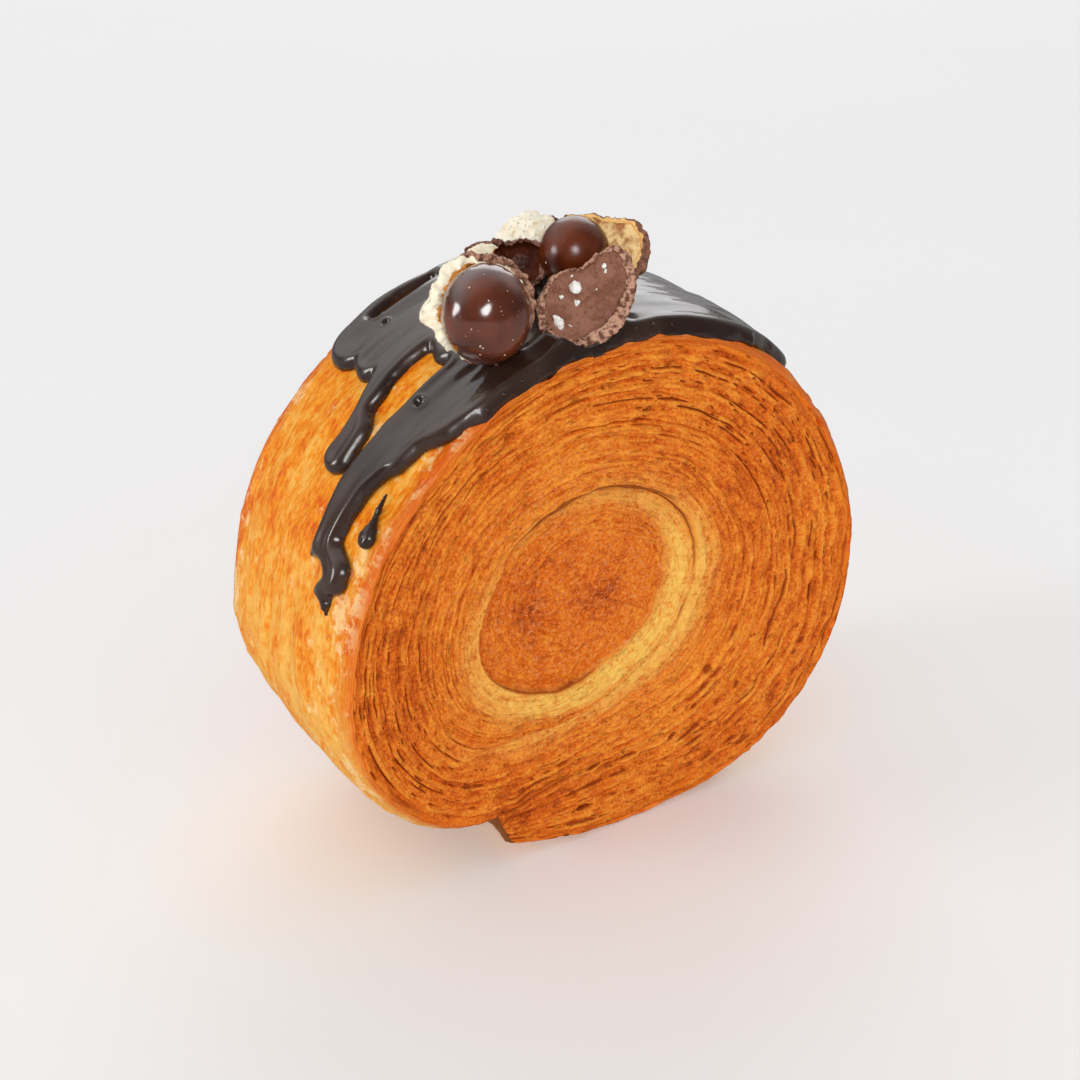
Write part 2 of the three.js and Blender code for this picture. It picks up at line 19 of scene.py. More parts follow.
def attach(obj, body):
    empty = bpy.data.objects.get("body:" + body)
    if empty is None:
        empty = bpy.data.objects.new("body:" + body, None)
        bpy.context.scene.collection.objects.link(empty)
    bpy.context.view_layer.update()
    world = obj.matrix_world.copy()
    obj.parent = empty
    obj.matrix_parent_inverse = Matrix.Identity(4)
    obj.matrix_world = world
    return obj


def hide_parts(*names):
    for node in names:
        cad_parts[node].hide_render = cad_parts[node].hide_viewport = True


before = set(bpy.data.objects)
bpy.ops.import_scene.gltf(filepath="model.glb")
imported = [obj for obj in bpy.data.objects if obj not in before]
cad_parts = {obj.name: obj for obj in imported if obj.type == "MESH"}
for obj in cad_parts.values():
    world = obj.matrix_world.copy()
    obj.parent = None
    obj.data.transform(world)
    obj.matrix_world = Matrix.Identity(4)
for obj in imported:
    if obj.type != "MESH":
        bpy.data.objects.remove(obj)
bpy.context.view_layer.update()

LOG = logging.getLogger("pastry")
MM = 0.001
BODY = "root"

Array = np.ndarray
Triple = tuple[float, float, float]
Color = tuple[float, float, float, float]
Piece = bpy.types.Object
Finish = bpy.types.Material
Tree = bpy.types.NodeTree
Socket = bpy.types.NodeSocket
Input = Socket | float | tuple


class Slot(Enum):
    """The record's material slots."""

    CRUST = "baked_crust"
    GLAZE = "dark_glaze"
    GLOSSY = "glossy_chocolate"
    MATTE = "matte_chocolate"
    WAFER = "pale_wafer"


class Side(Enum):
    """The two coiled faces, with the sign of their Y."""

    FRONT = -1
    BACK = 1


# Numbers


def smooth(low: float, high: float, x: Array) -> Array:
    """A smooth step from 0 at low to 1 at high."""
    u = np.clip((x - low) / (high - low), 0.0, 1.0)
    return u * u * (3.0 - 2.0 * u)


def window(a: Array, b: Array, c: Array, d: Array, x: Array) -> Array:
    """Rises smoothly from a to b and falls again from c to d."""
    return smooth(a, b, x) * (1 - smooth(c, d, x))


def mix(a: Array, b: Array, u: Array) -> Array:
    """The value between a and b at u."""
    return a + (b - a) * u


def rounded_max(a: Array, b: Array, reach: float) -> Array:
    """The larger of two values, with a rounded change where they are within reach of each other."""
    near = np.maximum(reach - np.abs(a - b), 0.0) / reach
    return np.maximum(a, b) + near * near * reach / 4


def blurred(values: Array, cells: float) -> Array:
    """A grid of values smoothed over about that many cells.

    Args:
        values: The grid, with two axes.
        cells: The reach of the smoothing, in cells.

    Returns:
        A grid of the same size.
    """
    width = math.ceil(2 * cells)
    weights = np.exp(-0.5 * (np.arange(-width, width + 1) / cells) ** 2)
    for axis in range(2):
        padded = np.pad(values, [(width, width) if k == axis else (0, 0) for k in range(2)], mode="edge")
        windows = np.lib.stride_tricks.sliding_window_view(padded, 2 * width + 1, axis)
        values = windows @ (weights / weights.sum())
    return values


def table(knots: tuple, x: Array) -> Array:
    """A piecewise straight curve through (x, y) knots."""
    xs, ys = zip(*knots)
    return np.interp(x, xs, ys)


def lattice(ix: Array, iy: Array, iz: Array, seed: int) -> Array:
    """A fixed random number from -1 to 1 for each point of a whole-number grid.

    Args:
        ix, iy, iz: The grid points.
        seed: Picks one of many patterns.

    Returns:
        One number for each.
    """
    h = (ix * 374761393 + iy * 668265263 + iz * 1274126177 + seed * 97463477) & 0xFFFFFFFF
    h = ((h ^ (h >> 13)) * 1274126177) & 0xFFFFFFFF
    h = h ^ (h >> 16)
    return (h & 0xFFFF) / 32767.5 - 1.0


def noise(x: Array, y: Array, z: Array | float = 0.0, seed: int = 0) -> Array:
    """Smooth random hills of unit size.

    Args:
        x, y, z: Where to read it; one hill is about one unit wide.
        seed: Picks one of many patterns.

    Returns:
        Values from -1 to 1.
    """
    x, y, z = np.broadcast_arrays(np.asarray(x, float), y, z)
    cells = [np.floor(a).astype(np.int64) for a in (x, y, z)]
    parts = [a - c for a, c in zip((x, y, z), cells)]
    ease = [p * p * (3.0 - 2.0 * p) for p in parts]
    total = np.zeros(x.shape)
    for corner in range(8):
        step = [(corner >> axis) & 1 for axis in range(3)]
        weight = np.ones(x.shape)
        for axis in range(3):
            weight = weight * (ease[axis] if step[axis] else 1.0 - ease[axis])
        total += weight * lattice(*[cells[axis] + step[axis] for axis in range(3)], seed)
    return total


def path_length(x: Array, z: Array) -> Array:
    """How far along a path each of its points is."""
    return np.concatenate([[0], np.cumsum(np.hypot(np.diff(x), np.diff(z)))])


def bell(x: Array, middle: float, width: float) -> Array:
    """A smooth bump of height 1."""
    return np.exp(-(((x - middle) / width) ** 2))


def rough_noise(x: Array, y: Array, z: Array | float = 0.0, seed: int = 0, octaves: int = 3) -> Array:
    """Noise with smaller hills on the larger ones.

    Args:
        x, y, z: Where to read it.
        seed: Picks one of many patterns.
        octaves: How many sizes of hill.

    Returns:
        Values round 0.
    """
    total, height, scale = 0.0, 1.0, 1.0
    for octave in range(octaves):
        total = total + height * noise(x * scale, y * scale, z * scale, seed + octave)
        height, scale = height * 0.5, scale * 2.03
    return total / 1.6


def srgb(red: int, green: int, blue: int) -> Color:
    """A colour given as seen on a screen, as linear light.

    Args:
        red, green, blue: From 0 to 255.

    Returns:
        Red, green and blue from 0 to 1, with 1 for opaque.
    """
    def linear(value: int) -> float:
        """One channel."""
        c = value / 255.0
        return c / 12.92 if c <= 0.04045 else ((c + 0.055) / 1.055) ** 2.4
    return (linear(red), linear(green), linear(blue), 1.0)


# Meshes


def placed_in_scene(name: str, data: bpy.types.ID) -> Piece:
    """A new object in the scene.

    Args:
        name: Its name.
        data: Its mesh, light or camera.

    Returns:
        The object, at the origin.
    """
    made = bpy.data.objects.new(name, data)
    bpy.context.scene.collection.objects.link(made)
    return made


def make_piece(
    name: str,
    points: Array,
    faces: list[Array],
    finish: Finish,
    floats: dict[str, Array] | None = None,
    corner_uv: Array | None = None,
    sharp_faces: Array | bool = False,
) -> Piece:
    """Makes one mesh object.

    Args:
        name: The piece's name.
        points: Its vertices in millimetres, n by 3.
        faces: Arrays of vertex numbers, each with the same number of corners a row.
        finish: Its material.
        floats: Values for each vertex, by attribute name.
        corner_uv: A place in the finish's own pattern for each face corner.
        sharp_faces: True for each face that stays flat, or for all.

    Returns:
        The object, at the origin.
    """
    mesh = bpy.data.meshes.new(name)
    faces = [f for f in faces if len(f)]
    corners = np.concatenate([f.reshape(-1) for f in faces]).astype(np.int32)
    counts = np.concatenate([np.full(len(f), f.shape[1]) for f in faces]).astype(np.int32)
    mesh.vertices.add(len(points))
    mesh.vertices.foreach_set("co", (np.asarray(points, float) * MM).astype(np.float32).reshape(-1))
    mesh.loops.add(len(corners))
    mesh.loops.foreach_set("vertex_index", corners)
    mesh.polygons.add(len(counts))
    mesh.polygons.foreach_set("loop_start", np.concatenate([[0], np.cumsum(counts)[:-1]]).astype(np.int32))
    mesh.polygons.foreach_set("use_smooth", ~np.broadcast_to(sharp_faces, len(counts)))
    for key, values in (floats or {}).items():
        mesh.attributes.new(key, "FLOAT", "POINT").data.foreach_set("value", values.astype(np.float32))
    if corner_uv is not None:
        mesh.uv_layers.new(name="strip").uv.foreach_set("vector", corner_uv.astype(np.float32).reshape(-1))
    mesh.update(calc_edges=True)
    mesh.validate()
    mesh.materials.append(finish)
    return placed_in_scene(name, mesh)


def settle(piece: Piece, slot: Slot, *nodes: str) -> Piece:
    """Rides a piece on the one body, and hides the solids that it stands for.

    Args:
        piece: A finished piece.
        slot: Its material slot; not used.
        *nodes: The solids that it stands for, none for an addition.

    Returns:
        The piece.
    """
    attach(piece, BODY)
    if nodes:
        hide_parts(*nodes)
    LOG.info("%s: %d faces", piece.name, len(piece.data.polygons))
    return piece


def ring_quads(near: Array, far: Array) -> Array:
    """Quads between two closed rings of vertex numbers of the same length."""
    return np.stack([near, np.roll(near, -1), np.roll(far, -1), far], 1)


def ring_fan(ring: Array, middle: int) -> Array:
    """Triangles from a closed ring of vertex numbers to one vertex."""
    return np.stack([np.full(len(ring), middle), ring, np.roll(ring, -1)], 1)


def capped_rings(rows: int, count: int) -> list[Array]:
    """The outward faces of a stack of rings, whose two end vertices follow the rings.

    Args:
        rows: How many rings.
        count: Vertices in each.

    Returns:
        Arrays of vertex numbers.
    """
    numbers = np.arange(rows * count).reshape(rows, count)
    quads = np.concatenate([ring_quads(numbers[i], numbers[i + 1]) for i in range(rows - 1)])
    first = ring_fan(numbers[0], rows * count)[:, [0, 2, 1]]
    fans = np.concatenate([first, ring_fan(numbers[-1], rows * count + 1)])
    return [quads[:, ::-1], fans[:, ::-1]]


class Vertices:
    """Values by name for a growing list of vertices."""

    def __init__(self, **values: Array) -> None:
        """Starts the list."""
        self.values = {key: np.reshape(part, -1) for key, part in values.items()}

    def __getitem__(self, key: str) -> Array:
        """All the values of one name."""
        return self.values[key]

    def grow(self, **values: Array | float) -> Array:
        """Adds vertices.

        Args:
            **values: Their values by name, x among them. One that isn't given is 0.

        Returns:
            Their numbers.
        """
        start, count = len(self["x"]), np.size(values["x"])
        for key, part in self.values.items():
            self.values[key] = np.append(part, np.broadcast_to(values.get(key, 0.0), count))
        return np.arange(start, start + count)


# The coiled strip


@dataclass(frozen=True)
class CoilShape:
    """The strip of dough in cross-section, and the rim that its last turn makes."""

    radius: float = 50.0
    thickness: float = 47.0
    axis_height: float = 41.8
    core: tuple[float, float] = (-7.0, 6.0)
    seam_angle: float = -115.5
    inner_turn: float = -3.25
    heart_offset: float = 1.4
    shrink: tuple[float, float] = (0.2, 0.717)
    flap_lean: float = 7.0
    flap_stretch: float = 0.12
    face_inset: float = 1.0
    lip_depth: float = 0.25
    lip_width: float = 2.0
    rim_bulge: float = 1.1
    rim_edge: tuple = ((1.5, 0.15), (6.5, 0.6), (14.0, 1.0), (23.5, 1.1))
    rim_swells: tuple = ((0.12, 1.1, 0.1), (0.52, 1.4, 0.09))
    line: tuple = (
        (-2.25, 15.5), (-2.125, 14.5), (-2, 17.4), (-1.875, 20.9), (-1.75, 19.6), (-1.625, 19.4),
        (-1.5, 20.5), (-1.375, 22.8), (-1.25, 21.4), (-1.125, 20), (-1, 25), (-0.9375, 31.2),
        (-0.875, 32), (-0.75, 31), (-0.625, 31.3), (-0.5, 32.9), (-0.375, 37.3), (-0.25, 40.3),
        (-0.125, 34.2), (-0.055, 34.4), (0, 41.4), (0.03, 44.8), (0.0625, 46), (0.125, 45.6),
        (0.1875, 42.7), (0.25, 41.2), (0.3125, 40.5), (0.375, 41.8), (0.4375, 44), (0.5, 47.1),
        (0.5625, 50.3), (0.625, 53.7), (0.6875, 57.8), (0.75, 59.9), (0.8125, 57.2), (0.875, 50.9),
        (0.9375, 47.6), (1, 46.4),
    )

    @property
    def half(self) -> float:
        """Half the roll's thickness."""
        return self.thickness / 2

    def through_knots(self, turn: Array) -> Array:
        """The coil line's distance from the core, smooth through its knots.

        Args:
            turn: Turns along the strip from the seam, negative inside the coil.

        Returns:
            Millimetres from the core.
        """
        xs, ys = np.array(self.line).T
        low = np.maximum(np.arange(len(xs)) - 1, 0)
        high = np.minimum(np.arange(len(xs)) + 1, len(xs) - 1)
        slopes = (ys[high] - ys[low]) / (xs[high] - xs[low])
        i = np.clip(np.searchsorted(xs, turn, side="left") - 1, 0, len(xs) - 2)
        span = xs[i + 1] - xs[i]
        u = np.clip((turn - xs[i]) / span, 0, 1)
        uu, uuu = u * u, u * u * u
        start = (2 * uuu - 3 * uu + 1) * ys[i] + (uuu - 2 * uu + u) * span * slopes[i]
        return start + (3 * uu - 2 * uuu) * ys[i + 1] + (uuu - uu) * span * slopes[i + 1]

    def distance(self, turn: Array) -> Array:
        """How far the coil line is from the core. The innermost turn repeats the next, smaller.

        Args:
            turn: Turns along the strip from the seam, negative inside the coil.

        Returns:
            Millimetres from the core.
        """
        turn = np.asarray(turn, float)
        inner = turn < self.line[0][0]
        shrunk = mix(*self.shrink, turn - self.inner_turn)
        return np.where(
            inner,
            shrunk * self.through_knots(np.where(inner, turn + 1, turn)),
            self.through_knots(np.where(inner, 0.0, turn)),
        )

    def point(self, turn: Array, across: Array) -> tuple[Array, Array]:
        """A place of the cross-section, as X and Z from the roll's axis.

        Args:
            turn: Turns along the strip from the seam, negative inside the coil.
            across: How far across the strip, 0 at its inner side and 1 at its outer side.

        Returns:
            X and Z in millimetres.
        """
        lean = self.flap_lean * across * smooth(-self.flap_stretch, 0, turn)
        outline = np.where(turn > 0, self.flap_lean * smooth(1 - self.flap_stretch, 1, turn), 0)
        angle = np.radians(self.seam_angle - 360 * turn + lean + outline)
        outer = self.distance(np.minimum(turn + 1, 1.0))
        radius = np.where(across > 0, mix(self.distance(turn), outer, across), self.distance(turn))
        return self.core[0] + radius * np.cos(angle), self.core[1] + radius * np.sin(angle)

    def inset(self, x: Array, z: Array) -> tuple[Array, Array]:
        """The cross-section drawn in all over, as the faces are."""
        scale = 1 - self.face_inset / self.radius
        return self.core[0] + (x - self.core[0]) * scale, self.core[1] + (z - self.core[1]) * scale

    def lip_wobble(self, x: Array, z: Array, side: int) -> tuple[Array, Array]:
        """How unevenly a lip is broken, out from the core and in from the face, in millimetres.

        Args:
            x, z: Places from the roll's axis, in millimetres.
            side: 1 or -1, for the two faces.

        Returns:
            The two distances in millimetres.
        """
        out = 0.34 * rough_noise(x / 3.4, z / 3.4, side * 4.0, 61) - 0.1
        inward = 0.2 + 0.2 * rough_noise(x / 2.2, z / 2.2, side * 4.0, 64)
        return out, inward

    def moved_out(self, x: Array, z: Array, out: Array) -> tuple[Array, Array]:
        """A place of the cross-section moved away from the core.

        Args:
            x, z: Places from the roll's axis, in millimetres.
            out: How far, in millimetres.

        Returns:
            X and Z in millimetres.
        """
        dx, dz = x - self.core[0], z - self.core[1]
        scale = 1 + out / np.maximum(np.hypot(dx, dz), 1)
        return self.core[0] + dx * scale, self.core[1] + dz * scale

    def rim_out(self, turn: Array, y: Array) -> Array:
        """How far the rim stands out from the cross-section at a depth y, round the lips too.

        Args:
            turn: Turns along the strip from the seam, negative inside the coil.
            y: Place along the roll's axis, 0 at its middle.

        Returns:
            Millimetres out from the core.
        """
        inward = np.clip(self.half - np.abs(y), 0, self.half)
        corner = 1 - np.clip((inward - self.lip_depth) / self.lip_width, 0, 1)
        lip = (self.face_inset + self.rim_edge[0][1]) * (1 - np.sqrt(1 - corner ** 2))
        swell = sum(extra * bell(turn, at, width) for at, extra, width in self.rim_swells)
        return table(self.rim_edge, inward) - lip + (1 - (y / self.half) ** 4) * swell

    def rim_section(self, x: Array, z: Array, y: Array, out: Array) -> tuple[Array, Array]:
        """A place of the outline moved out at depth y. At the lips it meets the drawn-in face.

        Args:
            x, z: Places from the roll's axis, in millimetres.
            y: Place along the roll's axis, 0 at its middle.
            out: How far the rim stands out there.

        Returns:
            X and Z in millimetres.
        """
        inward = self.half - np.abs(y)
        share = np.sqrt(np.clip((inward - self.lip_depth) / self.lip_width, 0, 1))
        near_x, near_z = self.moved_out(*self.inset(x, z), self.lip_wobble(x, z, np.sign(y))[0])
        far_x, far_z = self.moved_out(x, z, out)
        return mix(near_x, far_x, share), mix(near_z, far_z, share)

    def arc_length(self, turns: Array, across: float) -> Array:
        """Millimetres along the strip at each turn, from the first."""
        x, z = self.point(turns, np.full(turns.shape, across))
        return path_length(x, z)

    def rim_table(self) -> tuple[Array, Array]:
        """Millimetres along the rim from the top, positive to the left, and the turn there.

        Returns:
            The lengths in rising order, and the turn at each.
        """
        steps = 720
        turns = np.arange(steps + 1) / steps
        x, z = self.moved_out(*self.point(turns, 0 * turns), self.rim_bulge)
        along = path_length(x, z)
        top = along[np.argmax((turns > 0.3) & (x >= 0))]
        return (top - along)[::-1], turns[::-1]

    def rim_point(self, along: Array, y: Array, lift: Array) -> Array:
        """Places above the rim, in the part's frame.

        Args:
            along: Millimetres along the rim from its top.
            y: Place along the roll's axis, 0 at its middle.
            lift: Millimetres above the crust.

        Returns:
            Points, with X, Y and Z last.
        """
        turn = np.interp(along, *self.rim_table())
        x, z = self.rim_section(*self.point(turn, np.zeros(turn.shape)), y, self.rim_out(turn, y))
        x, z = self.moved_out(x, z, lift)
        return np.stack([x, y + 0 * x, z + self.axis_height], -1)


@dataclass(frozen=True)
class Pit:
    """A hole in a face: its place from the roll's axis, its half length, half width and depth."""

    x: float
    z: float
    long: float
    wide: float
    deep: float


@dataclass(frozen=True)
class DarkPatch:
    """A darker stretch of a face: its place from the roll's axis, its reach and its strength."""

    x: float
    z: float
    wide: float
    high: float
    strength: float


@dataclass
class CoiledFace:
    """One coiled face of the roll, as a closed slab that meets the rim."""

    shape: CoilShape
    side: Side
    steps_per_turn: int = 420
    layers: int = 16
    rows_per_layer: int = 4
    core_recess: float = 2.4
    layer_step: float = 0.42
    slit_depth: float = 0.62
    crack_depth: float = 2.1
    slab_depth: float = 7.0
    mean_depth: float = 0.45
    ridge_reach: float = 4.0
    wander: float = 0.026
    heart_rings: int = 22
    heart_row: float = 0.45
    seed: int = 3
    pits: tuple[Pit, ...] = ()
    patches: tuple[DarkPatch, ...] = ()
    pale_limits: tuple = (
        (-2.75, 0.9, 1.0, 0.0), (-2.6, 0.8, 1.0, 0.5), (-2.45, 0.66, 1.02, 0.75),
        (-2.34, 0.44, 1.04, 0.9), (-2.25, 0.26, 1.06, 1.0), (-2.12, 0.04, 1.0, 1.0),
        (-2.02, 0.0, 0.78, 0.85), (-1.92, -0.02, 0.5, 0.62), (-1.8, -0.03, 0.3, 0.42),
        (-1.7, -0.03, 0.18, 0.2), (-1.6, -0.03, 0.1, 0.0),
    )

    @property
    def rows(self) -> int:
        """Rows of vertices across one strip."""
        return self.layers * self.rows_per_layer

    def relief(
        self, turn: Array, across: Array, row: Array, length: Array, x: Array, z: Array
    ) -> tuple[Array, Array, Array]:
        """How far each vertex lies in from the face's flat plane.

        Args:
            turn, across: Its place in the strip.
            row: Its row number, which tells where a layer's edge runs.
            length: Millimetres along the strip.
            x, z: Its place from the roll's axis.

        Returns:
            The depth of the core's hollow, that of the layers' own relief, and that of its cuts alone, from
            which shade is painted into the cuts, cracks and pits.
        """
        foot = self.core_recess * (1 - smooth(-2.32, -1.95, turn))
        brow = self.core_recess * (1 - smooth(-2.5, -2.25, turn))
        level = mix(foot, brow, across ** 2)
        layer = row // self.rows_per_layer
        begun = smooth(self.shape.inner_turn, self.shape.inner_turn + 0.5, turn)
        strength = (0.75 + 0.55 * smooth(-1.0, -0.2, turn + across)) * begun
        steps = self.layer_step * noise(length / 10, layer * 5.3, turn.round() * 3.1, self.seed)
        steps = steps + 0.26 * noise(length / 3.2, layer * 9.1, 0, self.seed + 1)
        steps = steps + 0.16 * noise(length / 1.3, row * 1.3, 0, self.seed + 4)
        steps = steps + 0.22 * noise(x / 2.6, z / 2.6, 0, self.seed + 17)
        long_slit = noise(length / 8, layer * 7.7, 0, self.seed + 2)
        slit = smooth(0.12, 0.8, long_slit + 0.55 * noise(length / 1.4, layer * 3.3, 0, self.seed + 13))
        groove = np.where(row % self.rows_per_layer == 0, 0.1 + self.slit_depth * slit, 0.0)
        groove = np.where(row == 0, groove * smooth(-2.2, -2.0, turn), groove)
        groove = groove * mix(0.45, 1.0, smooth(-2.5, -2.0, turn))
        nick = smooth(0.5, 0.8, noise(length / 1.3, row * 2.9, 0, self.seed + 15))
        groove = groove + np.where(row % self.rows_per_layer == 2, 0.6 * nick, 0.0)
        crack = window(-1.73, -1.66, -1.32, -1.2, turn)
        seam = smooth(-0.2, -0.04, turn)
        first = window(-2.16, -2.06, -1.86, -1.76, turn)
        broad = noise(length / 14, 0, 0, self.seed + 3)
        later = 0.25 * smooth(-0.05, 0.45, broad) * smooth(-1.2, -1.0, turn)
        faint = (0.1 + later) * smooth(-2.3, -2.1, turn) + 0.24 * first
        open_line = np.maximum(np.maximum(crack, seam), faint)
        line = np.where(row == 0, self.crack_depth * open_line, 0.0)
        line = line + np.where((row == 1) | (row == self.rows - 1), 0.3 * self.crack_depth * crack, 0.0)
        shown = crack * (1 - smooth(-1.5, -1.42, turn))
        line = line + np.where((row == 1) | (row == 2), 0.4 * self.crack_depth * shown, 0.0)
        crumb = self.crumb(x, z, 0.14 + 0.1 * (1 - smooth(-2.7, -2.2, turn)))
        calm = 1 - 0.75 * self.paleness(turn, across)
        # The cuts' depth marks where shade is painted into grooves, cracks and pits.
        cut = strength * groove * calm * mix(0.6, 1.0, smooth(-1.5, -0.8, turn))
        cut = cut + line * np.where(row == 0, 0.6, 0.3)
        depth = self.mean_depth + strength * (steps + groove * calm) + line + crumb
        for pit in self.pits:
            tangent = math.atan2(pit.z - self.shape.core[1], pit.x - self.shape.core[0]) + math.pi / 2
            u = (x - pit.x) * math.cos(tangent) + (z - pit.z) * math.sin(tangent)
            w = (z - pit.z) * math.cos(tangent) - (x - pit.x) * math.sin(tangent)
            hole = pit.deep * np.exp(-((u / pit.long) ** 2 + (w / pit.wide) ** 2) ** 1.5)
            depth, cut = depth + hole, cut + hole
        return level, np.maximum(depth, -0.1), cut

    def crumb(self, x: Array, z: Array, fine: Array | float, level: float = 0.0) -> Array:
        """A height with fine crumb and broad waves."""
        fine = level + fine * rough_noise(x / 1.2, z / 1.2, 0, self.seed + 5)
        return fine + 0.25 * noise(x / 9, z / 9, 0, self.seed + 6)

    def paleness(self, turn: Array, across: Array) -> Array:
        """Where the under-baked dough shows: the sloping wall round the sunk core.

        Args:
            turn: Turns along the strip from the seam, negative inside the coil.
            across: How far across the strip, from 0 to 1.

        Returns:
            Values from 0 to 1.
        """
        turns, lows, highs, strengths = np.array(self.pale_limits).T
        low, high = np.interp(turn, turns, lows), np.interp(turn, turns, highs)
        strength = np.interp(turn, turns, strengths)
        band = window(low - 0.28, low + 0.2, high - 0.36, high + 0.12, across)
        past = np.interp(turn, (-1.56, -1.42, -1.32, -1.15, -1.0, -0.9), (0, 0.3, 0.7, 0.6, 0.3, 0))
        return np.clip(strength * band + past * (1 - smooth(0.03, 0.36, across)), 0, 1)

    def darkening(self, x: Array, z: Array) -> Array:
        """How dark each place is, from 0 to 1: baked browning, with painted shade where a patch stands for a
        shadow.

        Args:
            x, z: Places from the roll's axis, in millimetres.

        Returns:
            Values from 0 to 1.
        """
        brown = 0.22 + 0.22 * rough_noise(x / 11, z / 11, 0, self.seed + 8)
        for patch in self.patches:
            reach = ((x - patch.x) / patch.wide) ** 2 + ((z - patch.z) / patch.high) ** 2
            brown = brown + patch.strength * np.exp(-reach)
        return np.clip(brown, 0, 1)

    def build(self, name: str, finish: Finish) -> Piece:
        """Makes the slab.

        Args:
            name: The piece's name.
            finish: Its material.

        Returns:
            The finished object.
        """
        shape, rows, per = self.shape, self.rows, self.steps_per_turn
        steps = round(-shape.inner_turn * per)
        turns = shape.inner_turn + np.arange(steps + per + 1) / per
        lengths = shape.arc_length(np.minimum(turns, 0), 0.5)

        turn, row = np.meshgrid(turns[: steps + 1], np.arange(rows), indexing="ij")
        length = np.repeat(lengths[: steps + 1, None], rows, 1)
        across = row / rows
        wander = noise(length / 10, across * 3.0, 0, self.seed + 11)
        wander = wander + 0.5 * noise(length / 4, across * 5, 0, self.seed + 12)
        inner = smooth(0, 0.1, across) * smooth(0, 0.1, 1 - across) * (1 - smooth(-0.06, 0, turn))
        across = across + self.wander * wander * inner
        x, z = shape.inset(*shape.point(turn, across))
        level, depth, cut = self.relief(turn, across, row, length, x, z)
        x[steps], z[steps], depth[steps] = self.lip(*shape.point(turn[steps], row[steps] / rows))
        # Painted relief shading: lighter where the face stands proud, darker where it is sunk.
        sunk = depth[:steps] - blurred(depth[:steps], self.ridge_reach)
        sunk = np.concatenate([sunk, sunk[-1:]])
        # A painted shadow line along the outer side of the core's crack, where the brow's real shadow is out
        # of sight.
        painted_crack_shadow = window(-1.72, -1.66, -1.47, -1.4, turn) * (np.abs(row - 3.5) < 2)
        outer = smooth(0.8, 1.0, across + 0.07 * noise(length / 3, 0, 0, self.seed + 16))
        # Here the groove value is painted shade in the cuts, cracks and pits.
        made = Vertices(
            x=x, z=z, level=level, depth=depth, pale=self.paleness(turn, across), brown=self.darkening(x, z),
            grainy=0.5 - 0.5 * smooth(-2.7, -2.2, turn), outer=outer * smooth(-1.1, -0.9, turn),
            groove=np.maximum(smooth(0.1, 0.85, cut), 0.6 * painted_crack_shadow), ridge=np.clip(0.5 - 1.1 * sunk, 0, 1),
        )
        grid = np.arange((steps + 1) * rows).reshape(steps + 1, rows)
        x, z, depth = self.lip(*shape.point(turns[steps + 1:], np.zeros(per)))
        outline = made.grow(x=x, z=z, depth=depth, outer=1.0, brown=self.darkening(x, z), ridge=0.5)

        first_column = np.concatenate([grid[:, 0], outline])
        full = np.concatenate([grid, first_column[per: per + steps + 1, None]], 1)
        u = np.repeat(lengths[: steps + 1, None], rows + 1, 1)
        v = np.repeat(np.arange(rows + 1)[None, :] / self.rows_per_layer, steps + 1, 0)
        quads, quad_u, quad_v = (
            np.stack([a[:-1, :-1], a[:-1, 1:], a[1:, 1:], a[1:, :-1]], -1).reshape(-1, 4)
            for a in (full, u, v)
        )
        uv = [np.stack([quad_u, quad_v], -1)]

        # The heart of the coil closes in rings, round a place beside the strip's first edge.
        start = math.radians(shape.seam_angle - 360 * shape.inner_turn + 90)
        heart_x = shape.core[0] + shape.heart_offset * math.cos(start)
        heart_z = shape.core[1] + shape.heart_offset * math.sin(start)
        core = np.concatenate([grid[:per, 0], full[0, :0:-1]])
        core_x, core_z, core_depth, core_level = (made[key][core] for key in ("x", "z", "depth", "level"))
        heart_quads, near = [], core
        reach = np.hypot(core_x - heart_x, core_z - heart_z).mean()
        turned = np.arange(len(core) + 1) / len(core) * reach * 5
        around = np.stack([turned[:-1], turned[1:], turned[1:], turned[:-1]], 1)
        for k in range(1, self.heart_rings):
            share = 1 - k / self.heart_rings
            x, z = mix(heart_x, core_x, share), mix(heart_z, core_z, share)
            bumps = self.crumb(x, z, 0.24, self.mean_depth)
            far = made.grow(
                x=x, z=z, depth=mix(core_depth, bumps, smooth(0, 3, k)), level=core_level,
                brown=self.darkening(x, z), grainy=mix(0.5, 1.0, smooth(4, 15, k)), ridge=0.5,
            )
            heart_quads.append(ring_quads(near, far))
            low, high = (k - 1) * self.heart_row, k * self.heart_row
            uv.append(np.stack([around, np.tile([low, low, high, high], (len(core), 1))], -1))
            near = far
        heart = made.grow(
            x=heart_x, z=heart_z, depth=0.5, level=core_level.mean(), brown=0.4, grainy=1.0, ridge=0.5
        )

        # The slab's hidden sides: in from the outer loop, then a flat fan.
        loop = np.concatenate([first_column[steps: steps + per], full[steps, :0:-1]])
        x, z = shape.moved_out(made["x"][loop], made["z"][loop], -1.0)
        inner = made.grow(x=x, z=z, depth=self.slab_depth)
        middle = made.grow(x=shape.core[0], z=shape.core[1], depth=self.slab_depth)
        shown = [quads, np.concatenate(heart_quads), ring_fan(near, heart[0])]
        hidden = [ring_quads(inner, loop), ring_fan(inner, middle[0])[:, ::-1]]
        faces = shown + hidden

        y = self.side.value * (shape.half - (made["depth"] + made["level"]))
        points = np.stack([made["x"], y, np.maximum(made["z"] + shape.axis_height, 0)], 1)
        uv = [part.reshape(-1, 2) for part in uv] + [np.zeros((sum(f.size for f in faces[2:]), 2))]
        corner_uv = np.concatenate(uv)
        flat = np.arange(sum(len(f) for f in faces)) >= sum(len(f) for f in shown)
        if self.side is Side.FRONT:
            corner_uv = self.flipped_corners(faces, corner_uv)
            faces = [f[:, ::-1] for f in faces]
        floats = {key: made[key] for key in ("pale", "brown", "groove", "ridge", "grainy", "outer")}
        return make_piece(name, points, faces, finish, floats, corner_uv, flat)

